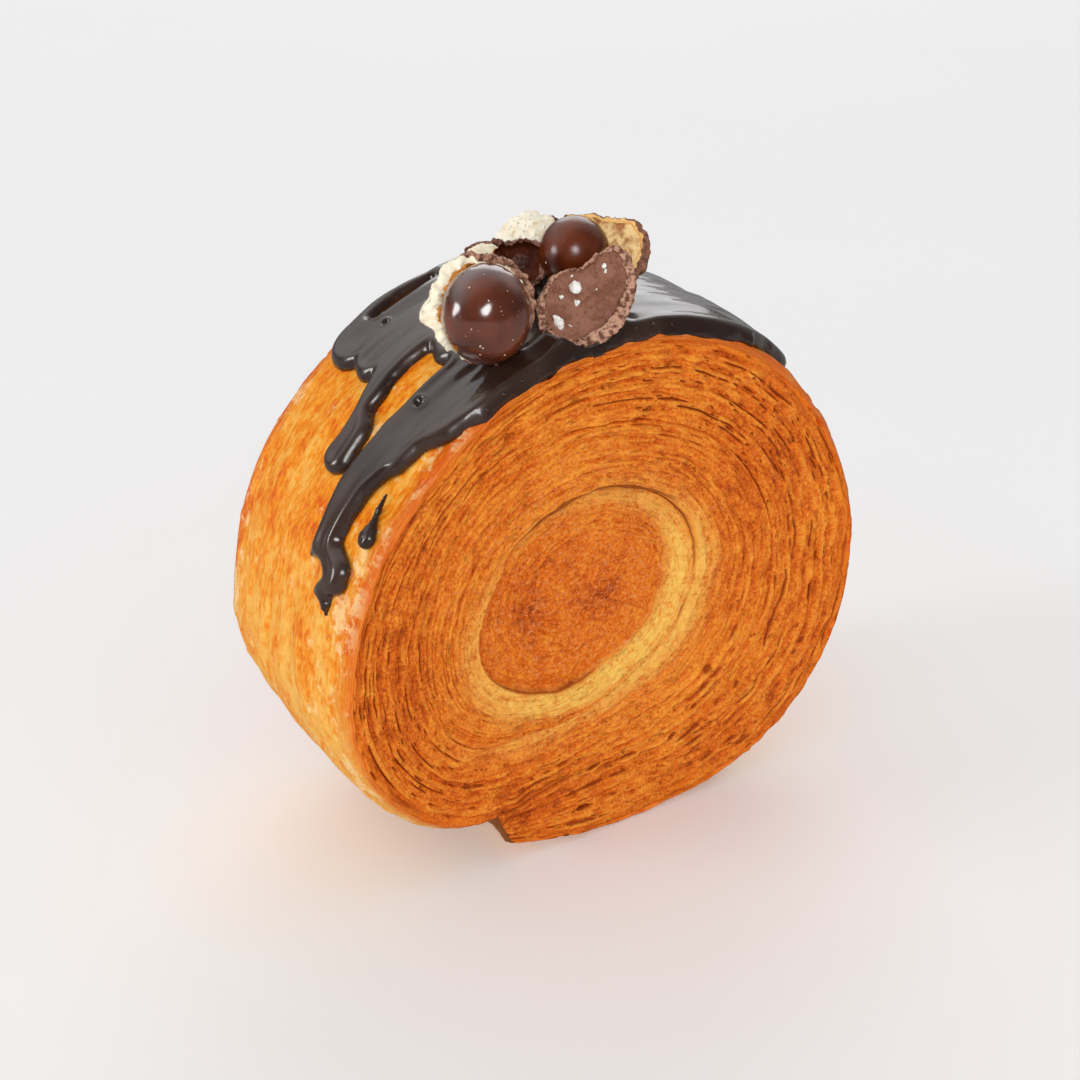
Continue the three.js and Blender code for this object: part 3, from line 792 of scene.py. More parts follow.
    def lip(self, x: Array, z: Array) -> tuple[Array, Array, Array]:
        """The face's broken edge at places of the outline: X and Z there, and its depth."""
        out, inward = self.shape.lip_wobble(x, z, self.side.value)
        return *self.shape.moved_out(*self.shape.inset(x, z), out), self.shape.lip_depth + inward

    @staticmethod
    def flipped_corners(faces: list[Array], corner_uv: Array) -> Array:
        """The corners' values in the order that turned faces need.

        Args:
            faces: Arrays of vertex numbers, before they turn.
            corner_uv: A value for each of their corners.

        Returns:
            The same values, reordered.
        """
        result, at = [], 0
        for block in faces:
            part = corner_uv[at: at + block.size].reshape(len(block), block.shape[1], 2)
            result.append(part[:, ::-1].reshape(-1, 2))
            at += block.size
        return np.concatenate(result)


@dataclass
class CrustRim:
    """The egg-washed rim, a closed band from one face's outline to the other's."""

    shape: CoilShape
    steps_per_turn: int = 560
    flap_rows: int = 48
    ring_spacing: float = 0.8
    lip_rows: tuple = (0.25, 0.27, 0.33, 0.42, 0.6, 0.9, 1.3, 1.9)
    wall: float = 3.0
    seed: int = 40

    def ring_depths(self) -> Array:
        """The Y of each ring, close together round the two lips.

        Returns:
            Depths along the roll's axis, in millimetres.
        """
        half = self.shape.half
        lip = half - np.array(self.lip_rows)
        inner = np.linspace(-lip[-1], lip[-1], round(2 * lip[-1] / self.ring_spacing))
        return np.concatenate([-lip[:-1], inner, lip[:-1][::-1]])

    def surface(self, along: Array, y: Array) -> Array:
        """The crust's unevenness at a place on the rim, zero at the lips.

        Args:
            along: Millimetres along the rim.
            y: Place along the roll's axis, 0 at its middle.

        Returns:
            Heights in millimetres.
        """
        edge = smooth(0.25, 4.0, self.shape.half - np.abs(y))
        broad = 0.34 * noise(along / 14, y / 9, 0, self.seed)
        broad = broad + 0.2 * noise(along / 6, y / 4, 0, self.seed + 1)
        wander = y + 1.1 * noise(along / 9, y / 8, 0, self.seed + 7)
        wrinkle = 0.16 * noise(along / 8, wander / 1.6, 0, self.seed + 2)
        wrinkle = wrinkle - 0.2 * smooth(0.3, 0.6, noise(along / 10, wander / 1.3, 0, self.seed + 8))
        blister = 0.3 * smooth(0.25, 0.75, noise(along / 2.3, y / 1.7, 0, self.seed + 3))
        inward = self.shape.half - np.abs(y)
        near_lip = window(0.4, 1.2, 3, 7, inward)
        return edge * (broad + wrinkle) + near_lip * blister - 0.36 * edge

    def build(self, name: str, finish: Finish) -> Piece:
        """Makes the band.

        Args:
            name: The piece's name.
            finish: Its material.

        Returns:
            The finished object.
        """
        shape, per, rows = self.shape, self.steps_per_turn, self.flap_rows
        turns = np.concatenate([np.arange(per) / per, np.zeros(rows)])
        across = np.concatenate([np.zeros(per), np.arange(rows, 0, -1) / rows])
        x, z = shape.point(turns, across)
        along = path_length(x, z)
        flap = across > 0
        depths = self.ring_depths()
        rings = []
        for y in depths:
            swell = np.where(
                flap, mix(shape.rim_out(0.0, y), shape.rim_out(1.0, y), across), shape.rim_out(turns, y)
            )
            ring_x, ring_z = shape.rim_section(x, z, np.array(y), swell + self.surface(along, y))
            side = np.sign(y)
            share = np.clip((shape.half - abs(y) - shape.lip_depth) / shape.lip_width, 0, 1)
            ring_y = y - side * shape.lip_wobble(x, z, side)[1] * (1 - share) ** 2
            rings.append(np.stack([ring_x, ring_y, np.maximum(ring_z + shape.axis_height, 0)], 1))
        for y in (depths[-1] - self.wall, depths[0] + self.wall):
            ring_x, ring_z = shape.moved_out(x, z, -self.wall)
            rings.append(np.stack([ring_x, np.full(len(x), y), ring_z + shape.axis_height], 1))
        count = len(x)
        numbers = np.arange(len(rings) * count).reshape(len(rings), count)
        blocks = [ring_quads(numbers[i], numbers[(i + 1) % len(rings)]) for i in range(len(rings))]
        length_uv = np.stack([along, np.roll(along, -1), np.roll(along, -1), along], 1)
        length_uv[-1, 1:3] = along[-1] + 0.5
        ys = [*depths, depths[-1], depths[0]]
        uv = []
        for i in range(len(rings)):
            near, far = ys[i], ys[(i + 1) % len(rings)]
            height = np.tile([near, near, far, far], (count, 1))
            uv.append(np.stack([length_uv, height], -1).reshape(-1, 2))
        points = np.concatenate(rings)
        inward = np.repeat(shape.half - np.abs(np.array(ys)), count)
        edge = 1 - smooth(0.3, 7.5, inward)
        lip = 1 - np.sqrt(np.clip((inward - shape.lip_depth) / shape.lip_width, 0, 1))
        lip = lip * np.repeat(np.where(np.array(ys) < 0, 1.0, -1.0), count)
        under = 1 - smooth(0, 55, points[:, 2] + 0.4 * points[:, 0])
        # The notch's step wall: painted shadow under the flap's end, with its toasted crust.
        notch_toast_and_shadow = np.tile(np.maximum(smooth(0, 0.25, across), 1 - smooth(0.0, 0.008, turns)), len(rings))
        flat = np.repeat(np.arange(len(rings)) >= len(depths) - 1, count)
        return make_piece(
            name, points, [np.concatenate(blocks)], finish,
            {"edge": edge, "lip": lip, "under": under, "notch_toast_and_shadow": notch_toast_and_shadow},
            np.concatenate(uv), sharp_faces=flat,
        )


# The glaze


@dataclass
class Foot:
    """A topping's frame and size. The glaze climbs it a little, and keeps out of its hollow."""

    matrix: Matrix
    size: Triple
    hollow: bool = False

    def gap(self, points: Array) -> Array:
        """How far points are from the topping, in millimetres, negative inside it.

        Args:
            points: Places in the part's frame.

        Returns:
            A distance for each.
        """
        local = (points - np.array(self.matrix.translation)) @ np.array(self.matrix.to_3x3())
        if self.hollow:
            local[..., 2] = np.where(local[..., 2] > 0, local[..., 2] * 0.6, local[..., 2])
        return (np.linalg.norm(local / np.array(self.size), axis=-1) - 1) * min(self.size)


@dataclass
class GlazeSkin:
    """The poured glaze, measured in millimetres along the rim from the top and in Y."""

    shape: CoilShape
    thickness: float = 1.45
    edge: float = 1.5
    under: float = -0.35
    spacing: float = 0.31
    fine_spacing: float = 0.16
    bead_height: float = 1.15
    closest: float = 0.12
    climb: float = 1.3
    sheet: tuple[float, float] = (-27.0, 24.0)
    limit: float = 22.7
    front_limit: tuple = ((-28, 21.6), (-20, 22.3), (-8, 22.7), (5, 22.9), (30, 22.7))
    runs: tuple = (
        ((20, 14, 9), (29, 15.5, 6.2)),
        ((24, 7, 6), (30.5, 7.6, 4)),
        ((20, 4, 5), (30, 2.3, 3.2), (38, 0.1, 1.9), (41.2, -1.9, 2.9), (46.0, -1.9, 3.2)),
        ((14, -14, 11), (24, -15.8, 8), (31, -14.4, 6.8), (38, -12, 5), (48, -10, 3.6), (57.5, -10.2, 3)),
        ((38.5, -15.6, 1.9), (41.5, -15.2, 1.6)),
        ((57.6, -10, 2.6), (60.6, -7.8, 0.7)),
        ((58.2, -11.4, 2.5), (60.4, -15.0, 2.5), (61.8, -15.4, 2.2)),
        ((61.8, -15.2, 1.8), (63.4, -13.6, 1.7), (64.6, -12.4, 1.3)),
        ((64.4, -13.2, 1.5), (66.0, -14.6, 0.7), (68.0, -15.1, 0.12)),
        ((-24, 15, 8), (-36, 16.5, 4), (-46, 16, 2.4), (-52, 15.6, 3)),
        ((-22, -16, 7), (-33, -15, 3.6), (-38, -14.6, 3.4)),
        ((-22, 0, 9), (-31, 1, 3.2), (-41, 1.5, 2.3), (-44, 1.6, 2.8)),
    )
    bare_slit: tuple = ((12, 18.9, 0.8), (18, 18.2, 1.3), (24, 17.6, 0.9))
    droplet: tuple = (
        (46.0, -16.8, 0.1), (48.6, -17.4, 0.3), (50.6, -17.9, 0.42), (51.8, -18.1, 1.0), (53.0, -18.2, 1.5),
        (53.6, -18.2, 1.4),
    )
    dents: tuple = ((32.0, -11.0, 0.75, 0.7), (24.5, 16.0, 0.6, 0.8), (24.5, 12.8, 0.55, 0.8))
    feet: list[Foot] = field(default_factory=list)

    @staticmethod
    def inside_run(run: tuple, along: Array, across: Array) -> Array:
        """How far a place lies inside a chain of round-ended stretches, negative outside.

        Args:
            run: Each stretch's end as along, across and half width.
            along, across: Millimetres along the rim from its top, and along the roll's axis.

        Returns:
            Millimetres inside the outline.
        """
        best = np.full(along.shape, -1e9)
        for (a0, b0, r0), (a1, b1, r1) in zip(run, run[1:]):
            squared = (a1 - a0) ** 2 + (b1 - b0) ** 2
            u = np.clip(((along - a0) * (a1 - a0) + (across - b0) * (b1 - b0)) / squared, 0, 1)
            away = np.hypot(along - mix(a0, a1, u), across - mix(b0, b1, u))
            best = rounded_max(best, mix(r0, r1, u) - away, 0.5)
        return best

    def inside_pour(self, along: Array, across: Array) -> Array:
        """How far a place lies inside the poured glaze, negative outside.

        Args:
            along, across: Millimetres along the rim from its top, and along the roll's axis.

        Returns:
            Millimetres inside the outline.
        """
        wave = 1.2 * np.sin(0.55 * across + 0.8) * np.sin(0.21 * across)
        inside = np.minimum(along - self.sheet[0], self.sheet[1] + wave - along)
        for run in self.runs:
            inside = rounded_max(inside, self.inside_run(run, along, across), 1.2)
        limit = np.where(across < 0, table(self.front_limit, along), self.limit)
        inside = np.minimum(inside, limit - np.abs(across) + 0.3 * noise(along / 3, 0 * across, 0, 71))
        inside = inside + 0.22 * noise(along / 3.1, across / 3.1, 0, 72)
        return np.minimum(inside, -self.inside_run(self.bare_slit, along, across))

    def inside_droplet(self, along: Array, across: Array) -> Array:
        """How far a place lies inside the droplet beside the main drip."""
        return self.inside_run(self.droplet, along, across)

    def lift(self, inside: Array, along: Array, across: Array, thickness: float) -> Array:
        """The upper surface's height above the crust.

        Args:
            inside: Millimetres inside the outline.
            along, across: Millimetres along the rim from its top, and along the roll's axis.
            thickness: The full thickness.

        Returns:
            Millimetres above the crust.
        """
        rise = np.clip(1 - (1 - np.clip(inside / self.edge, 0, 1)) ** 2, 0, 1) ** 0.62
        bead = 0.22 * bell(inside, 1.5, 0.9)
        flow = 0.22 * noise(along / 22, across / 2.6, 0, 73) + 0.12 * noise(along / 9, across / 1.7, 0, 74)
        thin = 0.3 * smooth(2.5, 6, inside)
        for at, over, radius, deep in self.dents:
            away = np.hypot(along - at, across - over) / radius
            thin = thin + deep * np.exp(-(away ** 4)) - 0.2 * bell(away, 1.5, 0.5)
        top = rise * (bead + flow * smooth(0.8, 3, inside) - thin)
        return self.under + 0.1 + (thickness - self.under - 0.1) * rise + top

    def build(
        self, name: str, finish: Finish, inside: Callable, along: Array, across: Array, thickness: float
    ) -> Piece:
        """Makes a skin wherever inside(along, across) is positive, by marching squares.

        Args:
            name: The piece's name.
            finish: Its material.
            inside: How far a place lies inside the skin's outline.
            along, across: The grid's lines.
            thickness: The skin's height at its middle.

        Returns:
            The finished object.
        """
        grid_a, grid_b = np.meshgrid(along, across, indexing="ij")
        value = inside(grid_a, grid_b)
        soft = blurred(value, 0.85 / (along[1] - along[0]))
        lift = self.lift(mix(value, soft, smooth(0.3, 1.3, value)), grid_a, grid_b, thickness)
        top = self.shape.rim_point(grid_a, grid_b, lift)
        for foot in self.feet:
            gap = foot.gap(top)
            near = np.clip(1 - np.maximum(gap, 0) / 2.2, 0, 1) ** 2 * smooth(-1.2, 0, gap)
            lift = lift + self.climb * near * smooth(0.2, 1.2, value)
            if foot.hollow:
                lift = mix(lift, np.minimum(lift, self.under + 0.3), 1 - smooth(-0.9, -0.1, gap))
        top = self.shape.rim_point(grid_a, grid_b, lift)
        bottom = self.shape.rim_point(grid_a, grid_b, self.under + 0 * lift)
        points: list[Array] = []
        made: dict[tuple, tuple[int, int]] = {}
        faces: list[tuple[int, int, int]] = []
        crossings: list[tuple] = []

        def corner(i: int, j: int) -> tuple[int, int]:
            """The upper and lower vertex at a grid corner.

            Args:
                i, j: The corner's row and column.

            Returns:
                The two vertex numbers.
            """
            key = (i, j)
            if key not in made:
                points.extend((top[i, j], bottom[i, j]))
                made[key] = (len(points) - 2, len(points) - 1)
            return made[key]

        def crossing(a: tuple[int, int], b: tuple[int, int]) -> tuple[int, int]:
            """The vertex where the outline crosses a grid edge.

            Args:
                a, b: The edge's ends, as row and column.

            Returns:
                The two vertex numbers.
            """
            first, second = (a, b) if a < b else (b, a)
            key = (first, second)
            if key not in made:
                u = value[first] / (value[first] - value[second])
                u = min(max(u, self.closest), 1 - self.closest)
                places = (mix(grid[first], grid[second], u) for grid in (grid_a, grid_b))
                crossings.append((len(points), *places))
                points.append(np.zeros(3))
                made[key] = (len(points) - 1, len(points) - 1)
            return made[key]

        filled = value > 0
        busy = filled[:-1, :-1] | filled[1:, :-1] | filled[:-1, 1:] | filled[1:, 1:]
        for i, j in zip(*np.nonzero(busy)):
            corners = ((i, j), (i, j + 1), (i + 1, j + 1), (i + 1, j))
            polygon = []
            start = -1
            for k in range(4):
                a, b = corners[k], corners[(k + 1) % 4]
                if filled[a]:
                    if start < 0:
                        start = len(polygon)
                    polygon.append(corner(*a))
                if filled[a] != filled[b]:
                    polygon.append(crossing(a, b))
            turned = polygon[start:] + polygon[:start]
            for k in range(1, len(turned) - 1):
                faces.append((turned[0][0], turned[k][0], turned[k + 1][0]))
                faces.append((turned[0][1], turned[k + 1][1], turned[k][1]))
        if crossings:
            at, place_a, place_b = (np.array(c) for c in zip(*crossings))
            rim = self.shape.rim_point(place_a, place_b, np.full(len(place_a), self.under + 0.1))
            for number, place in zip(at, rim):
                points[int(number)] = place
        return make_piece(name, np.array(points), [np.array(faces)], finish)

    def beads(self) -> list["Bit"]:
        """Places small beads of glaze along the pour's front edge and round the toppings.

        Returns:
            The beads' places, facings and sizes.
        """
        random = np.random.default_rng(7)
        edge = ((a, -float(table(self.front_limit, a))) for a in np.arange(-8, 28, 3.1))
        spots = [(a, b + random.uniform(0.1, 0.9)) for a, b in edge]
        spots += [(14.5, -20.4), (13.2, -19.4), (12.4, -20.8), (15.5, -21.2), (28.0, -20.2), (5.0, -21.9)]
        beads = []
        for along, across in spots:
            along = float(along + random.uniform(-0.8, 0.8))
            height = float(random.uniform(1.0, 1.35))
            place = self.shape.rim_point(np.array(along), np.array(across), np.array(height))
            out = Vector((place[0] - self.shape.core[0], 0, place[2] - self.shape.axis_height)).normalized()
            beads.append(Bit(tuple(place), tuple(out), float(random.uniform(0.2, 0.42))))
        return beads

    def build_all(self, finish: Finish) -> list[Piece]:
        """Makes the pour and the droplet.

        Args:
            finish: The glaze.

        Returns:
            The two pieces.
        """
        parts = (
            ("glaze_pour", self.inside_pour, (-56, 69), (-23.7, 23.7), self.spacing, self.thickness),
            ("glaze_bead", self.inside_droplet, (45, 56), (-21, -15), self.fine_spacing, self.bead_height),
        )
        made = []
        for name, inside, *spans, spacing, thickness in parts:
            lines = (np.linspace(low, high, round((high - low) / spacing) + 1) for low, high in spans)
            made.append(self.build(name, finish, inside, *lines, thickness))
        return made


# The toppings


def direction_to(left: float, up: float) -> Vector:
    """The direction at so many degrees left of the front and so many up."""
    a, e = math.radians(left), math.radians(up)
    return Vector((-math.sin(a) * math.cos(e), -math.cos(a) * math.cos(e), math.sin(e)))


@dataclass(frozen=True)
class Placing:
    """Where a topping lies and which way its hollow or its shown side looks.

    place is degrees left of the top, distance from the roll's axis and Y. facing is degrees left of
    the front and degrees up, and spin turns the piece about that direction.
    """

    place: Triple
    facing: tuple[float, float]
    spin: float = 0.0

    def matrix(self, axis_height: float) -> Matrix:
        """Turns the piece's own frame, with +Z its facing, to its place in the part's frame.

        Args:
            axis_height: The roll's axis above the floor.

        Returns:
            The piece's frame in the part's.
        """
        left, distance, y = self.place
        direction = direction_to(*self.facing)
        side = Vector((0, 0, 1)).cross(direction).normalized()
        upright = direction.cross(side)
        turned = Matrix((side, upright, direction)).transposed().to_4x4()
        angle = math.radians(left)
        spot = Vector((-distance * math.sin(angle), y, axis_height + distance * math.cos(angle)))
        return Matrix.Translation(spot) @ turned @ Matrix.Rotation(math.radians(self.spin), 4, "Z")


@dataclass
class BrokenShell:
    """A shell with a ragged mouth that looks along +Z of its own frame.

    The knots give a value at azimuths in degrees, from +X towards +Y of that frame: mouth is the
    polar angle of the broken edge, outline scales the shell, wall is its thickness, and wafer is
    the depth in the wall, from 0 outside to 1 inside, at which the coat gives way to wafer.
    """

    size: Triple
    mouth: tuple = ((0, 88), (360, 88))
    outline: tuple = ((0, 1.0), (360, 1.0))
    wall: tuple = ((0, 1.3), (360, 1.3))
    wafer: tuple = ((0, 2.0), (360, 2.0))
    hollow: float = 1.0
    ragged: float = 3.0
    chips: float = 0.0
    rough: float = 0.1
    ledge: float = 0.0
    offset: Triple = (0.0, 0.0, 0.0)
    around: int = 200
    down: int = 48
    edge_rows: int = 10
    seed: int = 100

    def build(self, name: str, matrix: Matrix, finish: Finish) -> Piece:
        """Makes the shell.

        Args:
            name: The piece's name.
            matrix: The piece's frame in the part's.
            finish: Its material, which reads depth, lip and wafer.

        Returns:
            The finished object.
        """
        azimuth = np.arange(self.around) * 360 / self.around
        phi = np.radians(azimuth)
        round_x, round_y = np.cos(phi), np.sin(phi)

        def hills(count: float, seed: int, height: Array | float = 0) -> Array:
            """A wave round the shell, with more hills for a larger count."""
            return noise(round_x * count, round_y * count, height, self.seed + seed)

        reach = self.ragged * (hills(3, 0) + 0.8 * hills(7, 1) + 0.5 * hills(17, 2))
        edge = np.radians(table(self.mouth, azimuth) + reach)
        outline, wall = table(self.outline, azimuth), table(self.wall, azimuth)
        outline = outline * (1 + self.chips * (hills(4, 7) + 0.6 * hills(10, 8)))
        size = np.array(self.size)
        mouth_z = (size[2] * np.cos(edge)).mean()
        rings, depths, lips = [], [], []

        def ring(theta: Array, inward: Array, depth: float, lip: float) -> None:
            """Adds one ring of vertices.

            Args:
                theta: Angles round the shell.
                inward: Millimetres in from its outside.
                depth: How deep in the wall it lies, 0 outside and 1 inside.
                lip: 1 on the broken edge, falling to 0 away from it.
            """
            unit = np.stack([np.sin(theta) * round_x, np.sin(theta) * round_y, np.cos(theta)], 1)
            shaped = mix(1.0, outline, np.sin(theta) ** 2)
            place = (size[None, :] - inward[:, None]) * unit
            place[:, :2] *= shaped[:, None]
            bump = self.rough * (0.25 + lip) * rough_noise(*(place * 1.3).T, self.seed + 5)
            bump = bump + 0.5 * self.rough * lip * rough_noise(*(place * 3.5).T, self.seed + 6)
            place = place + unit * bump[:, None]
            if depth == 1.0:
                place[:, 2] = mix(mouth_z, place[:, 2], self.hollow)
            rings.append(place + np.array(self.offset))
            depths.append(np.full(self.around, depth))
            lips.append(np.full(self.around, lip))

        zero = np.zeros(self.around)
        for k in range(1, self.down):
            u = (k / self.down) ** 0.8
            ring(mix(math.pi, edge, u), zero, 0.0, smooth(0.84, 0.97, u))
        for k in range(self.edge_rows + 1):
            u = k / self.edge_rows
            crumble = 0.06 * hills(8, 3, u * 3) - 0.05 * math.sin(math.pi * u)
            ring(edge + crumble, wall * u, min(u, 0.999), 1.0)
        for k in range(self.down - 1, 0, -1):
            u = (k / self.down) ** 0.8
            step = self.ledge * smooth(0.76, 0.84, u) * (0.5 + 0.5 * np.cos(phi + 0.6))
            ring(mix(math.pi, edge, u), wall - step, 1.0, smooth(0.93, 1.0, u))
        points = np.concatenate([*rings, [rings[0].mean(0), rings[-1].mean(0)]])
        floats = {
            "depth": np.concatenate([*depths, [0.0, 1.0]]),
            "lip": np.concatenate([*lips, [0.0, 0.0]]),
            "wafer": np.concatenate([np.tile(table(self.wafer, azimuth), len(rings)), [2.0, 2.0]]),
        }
        points = np.array([matrix @ Vector(p) for p in points])
        return make_piece(name, points, capped_rings(len(rings), self.around), finish, floats)


@dataclass
class Lump:
    """A closed lump: a ball pushed in and out by noise, smooth or crumbly."""

    size: Triple
    rough: float = 0.02
    grain: float = 4.0
    fine: float = 0.0
    coat_from: float = 2.0
    around: int = 140
    down: int = 84
    seed: int = 200

    def build(self, name: str, matrix: Matrix, finish: Finish) -> Piece:
        """Makes the lump.

        Args:
            name: The piece's name.
            matrix: The piece's frame in the part's.
            finish: Its material.

        Returns:
            The finished object.
        """
        theta, phi = np.meshgrid(
            np.arange(1, self.down) * math.pi / self.down,
            np.arange(self.around) * 2 * math.pi / self.around,
            indexing="ij",
        )
        unit = np.stack([np.sin(theta) * np.cos(phi), np.sin(theta) * np.sin(phi), np.cos(theta)], -1)
        unit = np.concatenate([unit.reshape(-1, 3), [[0, 0, 1], [0, 0, -1]]])
        place = unit * np.array(self.size)
        broad = self.rough * rough_noise(*(place / self.grain).T, self.seed)
        fine = self.fine * rough_noise(*(place / 0.8).T, self.seed + 9)
        place = place * (1 + broad)[:, None] + unit * fine[:, None]
        points = np.array([matrix @ Vector(p) for p in place])
        floats = {"coat": smooth(self.coat_from, self.coat_from + 0.12, unit[:, 0])}
        return make_piece(name, points, capped_rings(self.down - 1, self.around), finish, floats)


# Scattered bits


def scatter_tree() -> Tree:
    """Puts one rough bit at each vertex, turned to its facing and sized by its size.

    Returns:
        The tree, with inputs for its finish, stretch, roughness and seed.
    """
    tree = bpy.data.node_groups.new("scattered_bits", "GeometryNodeTree")
    for key, kind in (
        ("Geometry", "NodeSocketGeometry"), ("Shape", "NodeSocketVector"), ("Roughness", "NodeSocketFloat"),
        ("Seed", "NodeSocketInt"), ("Finish", "NodeSocketMaterial"),
    ):
        tree.interface.new_socket(name=key, in_out="INPUT", socket_type=kind)
    tree.interface.new_socket(name="Geometry", in_out="OUTPUT", socket_type="NodeSocketGeometry")
    nodes = Nodes(tree)
    given = nodes.add("NodeGroupInput").outputs
    ball = nodes.add("GeometryNodeMeshIcoSphere", {"Radius": 1.0, "Subdivisions": 3})
    size, facing = (
        nodes.add("GeometryNodeInputNamedAttribute", {"Name": key}, data_type=kind).outputs["Attribute"]
        for key, kind in (("size", "FLOAT"), ("facing", "FLOAT_VECTOR"))
    )
    aligned = nodes.add("FunctionNodeAlignRotationToVector", {"Vector": facing})
    spin = nodes.add(
        "FunctionNodeRandomValue", {2: 0.0, 3: 2 * math.pi, "Seed": given["Seed"]}, data_type="FLOAT"
    ).outputs[1]
    turn = nodes.add("ShaderNodeCombineXYZ", {2: spin})
    turn = nodes.add("FunctionNodeEulerToRotation", {0: turn.outputs[0]})
    rotation = nodes.add(
        "FunctionNodeRotateRotation", {0: aligned.outputs[0], 1: turn.outputs[0]}, rotation_space="LOCAL"
    )
    scale = nodes.add("ShaderNodeVectorMath", {0: given["Shape"], "Scale": size}, operation="SCALE")
    placed = nodes.add("GeometryNodeInstanceOnPoints", {
        "Points": given["Geometry"], "Instance": ball.outputs["Mesh"],
        "Rotation": rotation.outputs[0], "Scale": scale.outputs[0],
    })
    real = nodes.add("GeometryNodeRealizeInstances", {"Geometry": placed.outputs[0]})
    hills = nodes.add("ShaderNodeTexNoise", {"Scale": 1800.0, "Detail": 2.0})
    push = nodes.add(
        "ShaderNodeVectorMath", {0: hills.outputs["Color"], 1: (0.5, 0.5, 0.5)}, operation="SUBTRACT"
    )
    push = nodes.add(
        "ShaderNodeVectorMath", {0: push.outputs[0], "Scale": given["Roughness"]}, operation="SCALE"
    )
    moved = nodes.add("GeometryNodeSetPosition", {"Geometry": real.outputs[0], "Offset": push.outputs[0]})
    finished = nodes.add(
        "GeometryNodeSetMaterial", {"Geometry": moved.outputs[0], "Material": given["Finish"]}
    )
    nodes.add("NodeGroupOutput", {"Geometry": finished.outputs[0]})
    return tree


@dataclass(frozen=True)
class Bit:
    """One scattered bit: its place and facing in the part's frame, and its radius, in millimetres."""

    place: Triple
    facing: Triple
    size: float


@dataclass
class Scatter:
    """Bits of one kind, as one mesh."""

    tree: Tree
    shape: Triple = (1.0, 0.8, 0.6)
    roughness: float = 0.4
    seed: int = 1

    def build(self, name: str, bits: list[Bit], finish: Finish) -> Piece:
        """Makes the bits.

        Args:
            name: The piece's name.
            bits: Where they lie.
            finish: Their material.

        Returns:
            The finished object.
        """
        source = bpy.data.meshes.new(name + "_places")
        source.from_pydata([tuple(c * MM for c in bit.place) for bit in bits], [], [])
        sizes = source.attributes.new("size", "FLOAT", "POINT")
        sizes.data.foreach_set("value", [bit.size * MM for bit in bits])
        facings = source.attributes.new("facing", "FLOAT_VECTOR", "POINT")
        facings.data.foreach_set("vector", [c for bit in bits for c in bit.facing])
        carrier = placed_in_scene(source.name, source)
        modifier = carrier.modifiers.new("bits", "NODES")
        modifier.node_group = self.tree
        values = {
            "Shape": self.shape, "Roughness": self.roughness * MM, "Seed": self.seed, "Finish": finish,
        }
        for item in self.tree.interface.items_tree:
            if item.in_out == "INPUT" and item.name in values:
                modifier[item.identifier] = values[item.name]
        bpy.context.view_layer.update()
        evaluated = carrier.evaluated_get(bpy.context.evaluated_depsgraph_get())
        mesh = bpy.data.meshes.new_from_object(evaluated)
        mesh.name = name
        mesh.polygons.foreach_set("use_smooth", np.ones(len(mesh.polygons), bool))
        carrier.modifiers.remove(modifier)
        bpy.data.objects.remove(carrier)
        return placed_in_scene(name, mesh)


# Finishes


